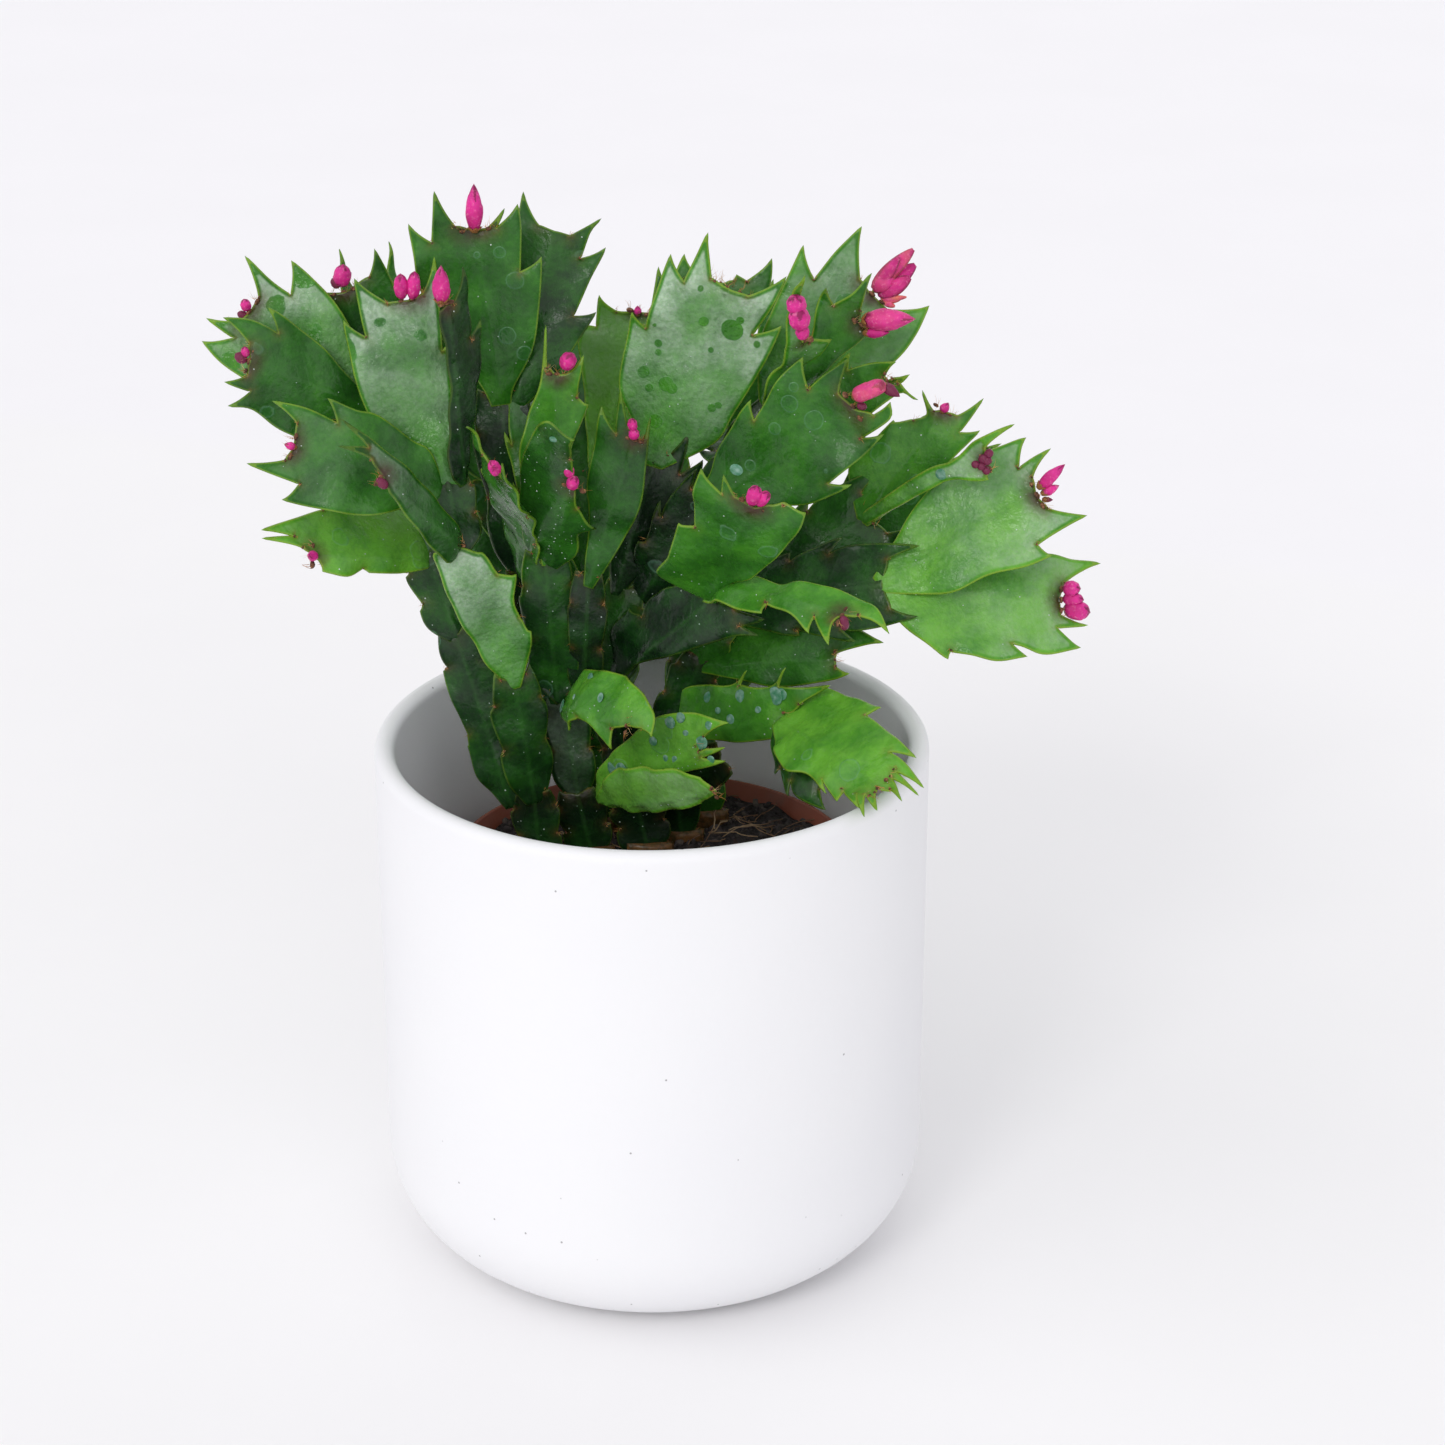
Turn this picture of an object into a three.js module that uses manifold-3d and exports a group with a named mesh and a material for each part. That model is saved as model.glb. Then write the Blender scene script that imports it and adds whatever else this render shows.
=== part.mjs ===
// Potted thanksgiving cactus: jointed stems of flat toothed pads with pink buds, rooted in a plastic
// nursery pot that stands in a white cover pot. Millimetres, +Z up. The origin is the centre of the
// cover pot's flat underside, and the front of the plant faces -Y.

import * as THREE from "three";
import { mergeVertices } from "three/addons/utils/BufferGeometryUtils.js";
import Module from "manifold-3d";

const wasm = await Module();
wasm.setup();

// Driving dimensions
const clearance = 0.3;
const coverPot = {
  radius: 70, height: 139.3, wall: 5.2, floor: 8, footRadius: 28, innerFootRadius: 20, sides: 40,
};
const nurseryPot = {
  rimRadius: 52, rimHeight: 6, rimTop: 104.8, bodyRadius: 50.4, footRadius: 38, wall: 1.1, sides: 32,
  drainHoles: 6, drainRadius: 4, drainCircle: 26,
};
const soil = {
  top: 101.5, relief: 1.6, mound: { x: -38, y: -14, height: 4, spread: 9 }, rings: 4, sides: 24,
};
const foot = { depth: 14, rise: 3.5, halfThickness: 2.6, sides: 12 };
const pad = {
  midThickness: 2.4, edgeThickness: 1.3, toothThickness: 0.8, sink: 3.2, siblingStep: 0.5, cupPower: 1.4,
  neck: 0.16, fanLag: 0.12,
};
const bud = { sides: 5, gap: 0.5 };
// How far fused surfaces may move where short slivers are dropped
const sliver = 0.15;

// The plant is laid out as it is seen from the front: x is to the right of the pot's axis and h is up
// from the middle of its rim, both in the plane across the line of sight, and y is the true depth
// behind the axis. The eye is this far away and this high.
const eye = { distance: 900, elevation: THREE.MathUtils.degToRad(23.9), aimX: 17.8, aimH: 3 };
const towardEye = new THREE.Vector3(0, -Math.cos(eye.elevation), Math.sin(eye.elevation));

function seen([x, h, y]) {
  const nearer = h * Math.tan(eye.elevation) - y / Math.cos(eye.elevation);
  const scale = 1 - nearer / eye.distance;
  const right = eye.aimX + (x - eye.aimX) * scale;
  const up = eye.aimH + (h - eye.aimH) * scale;
  const rise = (up - y * Math.sin(eye.elevation)) / Math.cos(eye.elevation);
  return new THREE.Vector3(right, y, coverPot.height + rise);
}

// Every stem: the foot [x, y] on the soil in true millimetres, then its pads as
// [name, grows from, end as seen [x, h, y], width, how it is bent]
// roll turns the pad about its own axis away from the viewer, curl bends its tip toward the viewer,
// cup lifts its edges toward the viewer, slip moves its base along the end of the pad below.
const stems = {
  stem_left: {
    foot: [-28.6, -1],
    width: 11,
    pads: [
      ["a1", "foot", [-30, -14.5, 0], 11.5, { shape: "old" }],
      ["a2", "a1", [-35, 14.5, -3], 13, { shape: "old", roll: 15 }],
      ["a3", "a2", [-50, 48.5, -8], 17, { cup: 0.1, curl: 15, roll: -10 }],
      ["a4", "a3", [-69.5, 66, -22], 18, { roll: 20, curl: -25, cup: -0.1 }],
      ["a5", "a3", [-52, 66, 2], 12, { shape: "old", curl: 10 }],
      ["a6", "a5", [-61, 112, 13], 27, { cup: -0.05 }],
      ["a7", "a5", [-52.5, 111, -4], 12, { roll: 35, slip: 3 }],
      ["a8", "a5", [-92.3, 73.2, -8], 23, { curl: -20, cup: 0.1, slip: -3 }],
      ["a9", "a5", [-72, 84, 18], 15, { shape: "old", slip: -2 }],
      ["a10", "a9", [-103.2, 95, 8], 24, { curl: -20 }],
      ["a11", "a9", [-103.2, 107.7, 23], 30, { cup: -0.05 }],
      ["a12", "a1", [-50, 27, 6], 12.5, { shape: "old", slip: -6, roll: -15 }],
      ["a13", "a12", [-57, 47, 12], 13, { shape: "old" }],
      ["a14", "a13", [-86.8, 45.3, -8], 21, { cup: -0.3, curl: -10 }],
      ["a15", "a13", [-66, 74, 28], 18, { shape: "old" }],
      ["a16", "a15", [-78.5, 113.5, 30], 24, {}],
      ["a17", "a15", [-71, 113.5, 44], 16, { roll: 35 }],
    ],
  },
  stem_mid_left: {
    foot: [-15.6, 6],
    width: 12.5,
    pads: [
      ["b1", "foot", [-19, -14, 7], 12.5, { shape: "old" }],
      ["b2", "b1", [-23, 11, 6], 11.5, { shape: "old" }],
      ["b3", "b2", [-33.5, 42, 13], 11, { shape: "old", roll: 20 }],
      ["b4", "b3", [-40, 68, -12], 16, { roll: -60, curl: 20 }],
      ["b5", "b3", [-38.5, 86.5, 18], 15, { shape: "old" }],
      ["b6", "b5", [-45, 129.3, 22], 30, { cup: 0.06 }],
      ["b7", "b5", [-24.3, 129, 34], 26, { slip: 3 }],
      ["b8", "b2", [-27, 46, 1], 13, { shape: "old", slip: -2 }],
      ["b9", "b8", [-30, 88, 20], 13, { curl: -10 }],
      ["b10", "b8", [-24, 93, 5], 18, { roll: 10 }],
      ["b11", "b8", [-19.6, 63, -14], 20, { cup: -0.2 }],
      ["b12", "b2", [-16, 40, -1], 9, { shape: "old", slip: 4 }],
      ["b13", "b12", [-4, 76, -2], 14, {}],
      ["b16", "b2", [-5.5, 2, -26], 16, { curl: -40, cup: -0.2, slip: -2 }],
      ["b17", "b1", [13, -4, -20], 15, { curl: -20, slip: 4 }],
      ["b18", "b1", [17, -14.5, -31], 12, { roll: 30, curl: -20, slip: 4 }],
    ],
  },
  stem_middle: {
    foot: [-1.2, 8.5],
    width: 14,
    pads: [
      ["c1", "foot", [-4.5, -14, 8.5], 14, { shape: "old" }],
      ["c2", "c1", [-11.5, 15, 12], 12, { shape: "old" }],
      ["c3", "c2", [16.5, 35.3, -8], 14, { roll: -20 }],
      ["c4", "c3", [25.8, 59.3, -28], 25, { curl: -15 }],
      ["c5", "c3", [49.5, 29.3, -34], 18, { roll: -30, curl: -45, slip: -2 }],
      ["c6", "c2", [-7, 38, 16], 12, { shape: "old" }],
      ["c7", "c6", [1, 71, 12], 14, { slip: -2 }],
      ["c8", "c7", [19.8, 115, 14], 31, {}],
      ["c9", "c7", [18, 116, 26], 27, { roll: 12 }],
      ["c10", "c6", [14, 59, 2], 16, { slip: 4 }],
      ["c11", "c10", [52.4, 84, -10], 30, { cup: 0.2 }],
      ["c12", "c10", [31, 82, 18], 12, { shape: "old" }],
      ["c13", "c12", [56.5, 112.6, 28], 30, {}],
      ["c14", "c12", [53.8, 104.5, 11], 19, { cup: 0.1, roll: 25 }],
      ["c15", "c12", [38.8, 101, -6], 14, { roll: 30 }],
      ["c16", "c12", [60.6, 90, -2], 16, {}],
      ["c17", "c1", [18, -6, -10], 12, { shape: "old", slip: 4 }],
    ],
  },
  stem_right: {
    foot: [7.6, 16],
    width: 12,
    pads: [
      ["d1", "foot", [3, 2, 12], 12, { shape: "old" }],
      ["d2", "d1", [13, 20, 14], 12, { shape: "old" }],
      ["d3", "d2", [47.5, 19, -2], 17, {}],
      ["d4", "d1", [34.5, 4, -8], 15, {}],
      ["d5", "d4", [58, -14.3, -48], 26, { curl: -12, cup: -0.02, roll: -12 }],
      ["d6", "d4", [46, -9, -26], 20, { curl: -15, cup: -0.1 }],
      ["d7", "d2", [19, 36, 12], 12, { shape: "old" }],
      ["d8", "d7", [60, 38, -4], 20, {}],
      ["d9", "d7", [56, 56, 14], 20, {}],
      ["d10", "d8", [98.8, 61.3, 0], 28, { roll: -14 }],
      ["d11", "d8", [105, 33.8, 0], 25, { curl: -20, roll: -14 }],
      ["d12", "d9", [85.5, 69.3, -6], 17, { roll: 10 }],
      ["d13", "d9", [74.3, 83, 20], 20, {}],
    ],
  },
  stem_back_left: {
    foot: [-12, 24],
    width: 12,
    pads: [
      ["e1", "foot", [-14, 0, 27], 12, { shape: "old" }],
      ["e2", "e1", [-20, 32, 36], 12, { shape: "old" }],
      ["e3", "e2", [-42, 66, 46], 15, { shape: "old" }],
      ["e4", "e2", [-14, 66, 52], 14, { shape: "old" }],
      ["e5", "e3", [-54, 104, 52], 28, { shape: "broad" }],
      ["e6", "e3", [-40, 104, 78], 26, { shape: "broad", roll: 25 }],
      ["e7", "e4", [-28, 96, 76], 24, { shape: "broad", curl: -20 }],
      ["e8", "e2", [-50, 50, 54], 16, {}],
      ["e9", "e8", [-74, 78, 64], 26, { shape: "broad" }],
      ["e10", "e8", [-58, 66, 86], 24, { curl: 20, roll: 20 }],
      ["e11", "e1", [-12, 24, 56], 15, {}],
      ["e13", "e4", [-3, 108.2, 46], 20, {}],
      ["e12", "e11", [-8, 48, 84], 24, { shape: "broad" }],
    ],
  },
  stem_back_right: {
    foot: [14, 28],
    width: 12,
    pads: [
      ["f1", "foot", [8, 6, 32], 12, { shape: "old" }],
      ["f2", "f1", [10, 38, 40], 12, { shape: "old" }],
      ["f3", "f2", [28, 72, 52], 14, { shape: "old" }],
      ["f4", "f2", [2, 74, 56], 14, { shape: "old" }],
      ["f5", "f3", [44, 108, 60], 28, { shape: "broad" }],
      ["f6", "f3", [24, 86, 80], 26, { shape: "broad", roll: -15 }],
      ["f7", "f4", [6, 98, 76], 24, { shape: "broad", roll: 15 }],
      ["f8", "f2", [48, 44, 60], 16, {}],
      ["f9", "f8", [84, 62, 64], 26, { shape: "broad" }],
      ["f10", "f8", [70, 70, 80], 24, { shape: "broad" }],
      ["f11", "f1", [34, 42, 66], 18, { curl: -20 }],
    ],
  },
};

// Outline of one side of a pad from its base to its end as [across, along], with across 1 at half the
// width and along 1 at the end. The points marked tip are the teeth's.
const tip = true;
const outlines = {
  normal: [
    [0.16, 0], [0.56, 0.1], [0.82, 0.26], [1.04, 0.44, tip], [0.84, 0.43], [1.02, 0.56], [1.24, 0.76, tip],
    [0.92, 0.68], [1.05, 0.83], [0.84, 1.2, tip], [0.6, 1],
  ],
  broad: [
    [0.16, 0], [0.64, 0.08], [0.94, 0.22], [1.1, 0.4, tip], [0.86, 0.38], [1.04, 0.48], [1.2, 0.68, tip],
    [0.9, 0.6], [1.02, 0.74], [1.12, 0.98, tip], [0.8, 0.86], [0.7, 1.2, tip], [0.5, 0.98],
  ],
  old: [
    [0.3, 0], [0.9, 0.2], [0.98, 0.4, tip], [0.86, 0.46], [1.02, 0.64], [1.06, 0.76, tip], [0.9, 0.8],
    [0.7, 1.02, tip], [0.5, 1],
  ],
};
const outlineWobble = { across: 0.05, along: 0.02, tooth: 0.12, lift: 0.09 };

// The outlines of the pads in front, each as its clockwise side and its other side from base to end,
// with points as they are seen: [x, h]
const seenOutlines = {
  a3: [
    [[-30.7, 22], [-30.6, 26.3, tip], [-33.4, 29.6], [-35, 34], [-34.4, 39.9, tip],
      [-39, 40.6], [-43, 46]],
    [[-42, 18], [-45.5, 24], [-49.8, 31], [-52.6, 38], [-55, 46.2]],
  ],
  a4: [
    [[-48.6, 51], [-53.5, 58.3], [-61, 66.2], [-68, 72], [-77.8, 79.6, tip], [-72, 72.4],
      [-79.3, 72.8, tip], [-71, 69.5]],
    [[-51.8, 43.5], [-57, 49], [-62, 55.5], [-66.5, 61.2]],
  ],
  a6: [
    [[-50.4, 80], [-51.6, 98.5, tip], [-53, 97], [-54, 110], [-55.1, 120.5, tip], [-58, 111.3]],
    [[-58, 67], [-66, 73], [-72.5, 83], [-76, 95], [-77.8, 104.5, tip], [-72.2, 100.3], [-74, 108],
      [-75.2, 115, tip], [-67, 108.9]],
  ],
  a7: [
    [[-44.6, 82], [-42.6, 97], [-43.1, 104.6, tip], [-45.4, 99.7], [-46.2, 111],
      [-47.9, 118, tip], [-50.2, 108.5]],
    [[-51.5, 68], [-51.2, 88], [-54, 107]],
  ],
  a8: [
    [[-56.3, 71.5], [-60.5, 74.2], [-69, 80.4], [-75, 81.8], [-81.8, 84.8, tip], [-79.5, 78.6],
      [-87, 82.2], [-95.8, 84.2, tip], [-89.6, 78.5]],
    [[-60, 58], [-72, 55.5], [-84, 57.2], [-93.3, 59.3, tip], [-89, 63.3], [-96.5, 66.1],
      [-102.2, 68.4, tip], [-92.7, 69.2]],
  ],
  a10: [
    [[-77, 90.5], [-83, 97.5], [-92, 104.7], [-97, 107.7, tip], [-94.4, 101.2],
      [-101, 104.5], [-108.2, 105.2, tip], [-101.8, 98.9]],
    [[-75, 76], [-83, 73.5], [-92.8, 76.6], [-101, 82.2], [-107, 83, tip], [-101.3, 86.7],
      [-107.9, 89, tip], [-102.3, 90.6]],
  ],
  a11: [
    [[-75, 100], [-80, 108.7], [-86, 115.2], [-91, 119.5, tip], [-91.2, 110.9],
      [-96.5, 114.7], [-102.8, 120.8, tip], [-99.3, 110.4]],
    [[-78, 80], [-90, 82], [-103, 90], [-109, 94.2], [-113.6, 99.3, tip], [-105.5, 100.1],
      [-112.5, 105.1, tip], [-103.8, 104.4]],
  ],
  a14: [
    [[-57.8, 49.3], [-61.5, 55], [-68, 60], [-73, 63.5], [-80, 61.6], [-86.4, 60.4, tip], [-83, 56.7],
      [-91.5, 54], [-98.1, 51.7, tip], [-90.3, 50], [-97.8, 49.6, tip], [-88.3, 47.2]],
    [[-63, 40.9], [-71.3, 41, tip], [-73, 42], [-77.5, 40], [-83, 41.3, tip], [-83.8, 43.3]],
  ],
  b6: [
    [[-35, 88], [-30.4, 97], [-28.7, 108], [-28, 120.6, tip], [-33.4, 116.8], [-33.2, 128],
      [-34, 133.8, tip], [-39.6, 127.7], [-37.3, 132.9, tip], [-41.8, 127.7]],
    [[-43, 88], [-52, 98.5], [-58.3, 112], [-60, 121], [-61.5, 128.8, tip], [-55.6, 124.1], [-55.2, 131],
      [-55, 137.2, tip], [-49.8, 128.2]],
  ],
  b7: [
    [[-24, 91], [-19.5, 98.3], [-14.2, 106.5, tip], [-19.9, 105.6], [-16, 114.5],
      [-11.8, 122.9, tip], [-18.2, 120.3], [-15.7, 127], [-13, 130.4, tip], [-20.6, 125.9]],
    [[-37.5, 88], [-39, 97], [-36, 110], [-34, 128], [-32.6, 137.1, tip], [-28.6, 128.5]],
  ],
  b10: [
    [[-22, 62], [-20.6, 72], [-16.2, 83.2, tip], [-18.9, 85], [-18.8, 89], [-17.4, 95.8, tip],
      [-21.7, 91.2]],
    [[-33.3, 68], [-31.5, 79], [-27.9, 90], [-26.8, 103.2, tip], [-26.4, 92.6]],
  ],
  b11: [
    [[-19.2, 45.5], [-18.6, 50.8], [-14.5, 51.6, tip], [-18.8, 57.2]],
    [[-32.4, 49], [-33.4, 64.8], [-31.4, 73], [-26.5, 79.8], [-19.4, 75.1, tip], [-20.8, 69.5]],
  ],
  b13: [
    [[-8, 48], [-3, 58], [-1.5, 70], [-0.5, 80, tip], [-2, 74.5]],
    [[-15.8, 56], [-16.3, 63], [-14.3, 74.5], [-12.7, 82.9, tip], [-9, 76], [-7.9, 87, tip], [-5.5, 77]],
  ],
  b16: [
    [[-20.8, 1.1, tip], [-18.2, 4.2], [-15, 2], [-11.1, -3.4, tip], [-10.5, 1.5]],
    [[-18.5, 14.8], [-12.5, 16], [-5.5, 13.5], [0.5, 6], [0.7, -0.8, tip], [-2.5, 1.6]],
  ],
  b17: [
    [[3, -11], [11, -8.8], [18.3, -6.8, tip], [12.8, -5.6], [18.6, -3.2, tip], [14, -3.6]],
    [[-12.5, -8], [-5, -0.6], [2, 4.5], [10, 5], [19.2, 2.9, tip], [13, -0.6]],
  ],
  b18: [
    [[-4, -19.4], [5, -18.8], [12, -17.6]],
    [[-10, -9.6], [-3, -8.8], [6, -9.4], [12, -11]],
  ],
  c3: [
    [[-4, 17.6], [6, 20.2], [20, 24.8], [26, 25, tip], [22, 27.4], [28.5, 29.2, tip], [21, 31.6]],
    [[-10, 22.8], [-8.7, 27.5], [-5.4, 31.8, tip], [-2.2, 29.8], [-0.5, 34.5], [5, 37.2], [12, 37.5]],
  ],
  c4: [
    [[18, 36.5], [26, 40.5], [33, 46.5], [37, 51.5], [38.7, 56, tip], [33, 57.9], [30.4, 57.6]],
    [[1.8, 40.5], [4.5, 45.5], [6.7, 53.1, tip], [10.9, 52.4], [10.3, 60],
      [12.3, 66.8, tip], [17.7, 60.8], [18, 65.3, tip], [21, 60.2]],
  ],
  c5: [
    [[23, 31.5], [27.5, 30.8, tip], [28.6, 33.4], [35.5, 30], [39.4, 26, tip], [41, 30.1],
      [44.7, 22, tip], [45.8, 28]],
    [[17.5, 38], [22, 39.5], [33, 38.6], [47, 36.3], [55.5, 32.9], [59.9, 26.2, tip], [52, 30.2]],
  ],
  c7: [
    [[1, 45], [9, 56], [11.8, 64], [12.9, 69.6, tip], [6.8, 65.5], [9.4, 76.4, tip], [4, 70.5]],
    [[-10, 48], [-8.5, 58], [-5, 68], [-3, 71.5]],
  ],
  c8: [
    [[15.5, 73.5], [20.5, 81], [26, 89.8], [29.7, 96.5], [32.3, 102.6, tip], [25.3, 100.8],
      [30.5, 108.5], [33.7, 115.3, tip], [24.6, 111]],
    [[-4, 73.5], [-5, 79.5], [-8.1, 88.3], [-6.6, 98.5], [-4.7, 107, tip], [-1.6, 102.6],
      [1.3, 112], [4.5, 120.9, tip], [8.2, 114.5], [10.8, 120], [14, 126.5, tip], [14.9, 115.2]],
  ],
  c9: [
    [[8, 76], [19, 88], [26, 102], [29.6, 113], [30.2, 120.1, tip], [24, 114.4], [21.4, 116, tip],
      [20.6, 114.6]],
    [[-2.5, 88], [0, 108], [1.6, 118, tip], [4, 112], [8.2, 121.2, tip], [12, 115]],
  ],
  c11: [
    [[28, 57.6], [38, 58], [45.5, 60.6], [50.3, 63.1, tip], [44.6, 63.5], [52.5, 70],
      [58.2, 75.7, tip], [52.4, 74.6], [60, 79.8], [60.7, 84.1, tip], [56, 80.6]],
    [[15, 66], [17.5, 73.5], [24.9, 84.4, tip], [26.2, 79.4], [32, 89.5], [37.5, 95, tip], [39.3, 87],
      [43, 90.3], [49.4, 94.8, tip], [47.3, 86.2]],
  ],
  c13: [
    [[42, 84], [52, 87.5], [61.5, 94.6], [66.5, 101], [69.9, 108.2, tip], [59.6, 107.2]],
    [[27, 97], [30.5, 107], [34.4, 115.5], [38.2, 123.5, tip], [40.9, 114.9], [47, 122.4],
      [52.9, 128.2, tip], [52.4, 115]],
  ],
  c14: [
    [[40, 88], [45, 93.7], [54, 100.8, tip], [54.2, 102]],
    [[36, 92], [40.3, 100], [41.5, 107], [43.9, 113.5, tip], [45.9, 108.1], [51, 112.2],
      [55.4, 116.6, tip], [52.6, 107]],
  ],
  c15: [
    [[36.5, 90.5], [42, 95.2], [45.4, 98.6, tip], [39.8, 98.9]],
    [[28.6, 88], [33, 94], [34, 104], [35.4, 110.8], [38.5, 116.3, tip], [36.6, 103.5]],
  ],
  c16: [
    [[46, 77], [54, 80], [61.8, 86.2], [67.2, 84.6, tip], [62, 88.5], [64.7, 90.8, tip], [60.6, 89.9]],
    [[40, 86], [45.5, 92.5], [50.2, 96.3, tip], [49.4, 91.9], [55, 93.6], [61.7, 94.1, tip], [58.2, 90.3]],
  ],
  d3: [
    [[22, 14], [32, 12.2], [45, 13.8], [50.7, 15.4, tip], [46.2, 17.2]],
    [[20, 26], [31, 30], [43, 29.8], [51, 26.8], [59.1, 23.2, tip], [46.5, 20.6]],
  ],
  d4: [
    [[12, -1], [22, -1.8], [32.2, -0.5], [36.3, 2.8]],
    [[7, 10.6], [14, 12.4], [20, 12.4], [24.6, 16.2, tip], [22, 12.4], [30, 12], [34.4, 16.9, tip],
      [32, 12], [38.5, 11.6], [44.8, 12.3, tip], [37, 7.6]],
  ],
  d5: [
    [[31.2, -4.5], [34.5, -9.5], [39.5, -10], [43.5, -14.3, tip], [43.2, -11.5], [46.4, -16.4, tip],
      [47.8, -13.6], [52.5, -18.8, tip], [51.9, -15], [53.5, -20.6, tip], [54, -15.2],
      [57, -19.4, tip], [56.2, -14.6]],
    [[38, 9.2], [43.5, 11], [50, 9.7], [57.9, 6.5, tip], [53.8, 4.8], [60.5, -0.2],
      [66.3, -5.4, tip], [60, -4.8], [63.5, -6.8], [68.1, -12.8, tip], [61, -8.8], [67, -15, tip],
      [60, -10.5], [63.2, -17, tip], [60, -13.6]],
  ],
  d10: [
    [[69, 35.6], [77, 36.3], [84, 40], [93, 42.5], [100.9, 45.2, tip], [97.2, 48],
      [103, 51.8], [109.7, 55.3, tip], [99.9, 57.2]],
    [[62, 50], [70, 62], [80, 69], [88.5, 72.8], [94.2, 75.1, tip], [92.4, 67.4],
      [100.5, 72.3, tip], [95.9, 65]],
  ],
  d11: [
    [[65, 26.2], [74.9, 19.5, tip], [75.5, 21.3], [87, 18.7], [94.3, 19.4, tip],
      [90.6, 22.8], [100, 20.6], [108.2, 22, tip], [102.2, 26.9], [110.3, 27.8, tip], [103.2, 30.2]],
    [[72, 43], [88, 46], [101.5, 45], [113, 43.1, tip], [104.2, 38.2]],
  ],
  d12: [
    [[70, 62], [76, 64.5], [84.7, 64.3, tip], [84.6, 66.8]],
    [[68, 66], [76.5, 69.4], [82.4, 74.6], [91.7, 78.5, tip], [84.5, 72.5]],
  ],
  d13: [
    [[62, 58], [70, 64], [77, 71], [82.7, 76.7, tip], [77.5, 76.3], [83.6, 84.7, tip], [77, 80.5]],
    [[49.8, 67], [55, 73], [61, 79.3, tip], [66, 79.4], [69.5, 80.8], [68.3, 86.8, tip],
      [71.2, 81.6]],
  ],
  e13: [
    [[-6, 76], [0, 84], [3, 96], [4, 108, tip], [0, 106]],
    [[-16.8, 81], [-17.3, 90], [-18.4, 98.7], [-17, 104, tip], [-14, 103], [-13.3, 110.9, tip],
      [-9, 106.6]],
  ],
};

// Where the faces' triangles meet on the midrib, and where it ends
const midribSteps = [0, 0.27, 0.5, 0.72, 0.84];
const midribEnd = 0.96;

// Buds: [on the pad, [lean along the end, lean toward the viewer, length, width] in degrees and mm]
const buds = [
  ["a11", [[-8, 0, 4, 2.5], [30, 10, 3.4, 2.2]]],
  ["a10", [[-15, 5, 5, 2.8], [25, 5, 4, 2.4]]],
  ["a16", [[0, 0, 5, 4.2]]],
  ["a6", [[-22, 0, 5.5, 3.6], [18, 5, 6.2, 3.4]]],
  ["a7", [[-4, 14, 9, 4]]],
  ["a8", [[0, 10, 3, 2]]],
  ["a14", [[-8, 40, 4, 2.6]]],
  ["a4", [[-35, 20, 3.4, 2.4]]],
  ["b6", [[0, 0, 11.5, 4.3]]],
  ["b10", [[14, 20, 4.5, 4.2]]],
  ["b4", [[-20, 0, 3.6, 3], [20, 10, 3.6, 3]]],
  ["b11", [[26, -4, 4, 3], [66, 12, 3.6, 2.6]]],
  ["b13", [[0, 0, 5.5, 2.4]]],
  ["e13", [[-15, 0, 2.6, 2]]],
  ["c15", [[4, 66, 13, 3.4]]],
  ["c13", [[10, 0, 17, 7]]],
  ["c14", [[38, 50, 13.5, 5], [10, 40, 5, 3.4]]],
  ["c11", [[20, 25, 13, 4.8], [-30, 20, 4, 2.8]]],
  ["c4", [[0, 10, 4.6, 4]]],
  ["c5", [[6, 14, 4.4, 2.6]]],
  ["d12", [[-20, 10, 6, 3.6], [25, 10, 5, 3.4]]],
  ["d13", [[0, 0, 3, 2.4]]],
  ["d10", [[-25, 0, 8, 3.6], [15, 5, 5, 3]]],
  ["d11", [[-25, 5, 5, 4.2], [15, 8, 5.6, 4.6]]],
  ["e5", [[0, 0, 6, 3.4]]],
  ["e9", [[0, 0, 5, 3.2]]],
  ["e12", [[-15, 0, 6, 3.4], [20, 0, 5, 3.2]]],
  ["f5", [[0, 0, 5, 3.4]]],
  ["f9", [[-15, 0, 7, 3.6], [20, 0, 5, 3.2]]],
  ["f10", [[0, 0, 6, 3.4]]],
];

const colours = {
  ceramic: 0xf1f1f1, terracotta: 0x8a4433, peat: 0x3b2a22, pad: 0x2f7a2c, bud: 0xd3268a,
};

function material(colour, roughness) {
  return new THREE.MeshStandardMaterial({ color: colour, roughness, metalness: 0 });
}

// Repeatable random numbers between -1 and 1
function random(seed) {
  let state = seed * 7919 + 17;
  return () => {
    state = (state * 16807) % 2147483647;
    return (state / 2147483647) * 2 - 1;
  };
}

// Solids from closed meshes, and back
function solidOf(geometry) {
  const plain = geometry.clone();
  plain.deleteAttribute("normal");
  plain.deleteAttribute("uv");
  const merged = mergeVertices(plain, 1e-4);
  const mesh = new wasm.Mesh({
    numProp: 3,
    vertProperties: new Float32Array(merged.attributes.position.array),
    triVerts: new Uint32Array(merged.index.array),
  });
  return new wasm.Manifold(mesh);
}

function geometryOf(solid) {
  const mesh = solid.getMesh();
  const geometry = new THREE.BufferGeometry();
  geometry.setAttribute("position", new THREE.BufferAttribute(mesh.vertProperties, mesh.numProp));
  geometry.setIndex(new THREE.BufferAttribute(mesh.triVerts, 1));
  return geometry;
}

function fuse(solids) {
  return solids.reduce((whole, next) => whole.add(next)).asOriginal().simplify(sliver);
}

// A lathe about Z from [radius, height] points
function turned(profile, sides) {
  const points = profile.map(([radius, height]) => new THREE.Vector2(radius, height));
  return new THREE.LatheGeometry(points, sides).rotateX(Math.PI / 2);
}

function arc(centreRadius, centreHeight, radius, fromDegrees, toDegrees, steps) {
  return Array.from({ length: steps + 1 }, (_, i) => {
    const angle = THREE.MathUtils.degToRad(fromDegrees + ((toDegrees - fromDegrees) * i) / steps);
    return [centreRadius + radius * Math.cos(angle), centreHeight + radius * Math.sin(angle)];
  });
}

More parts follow.
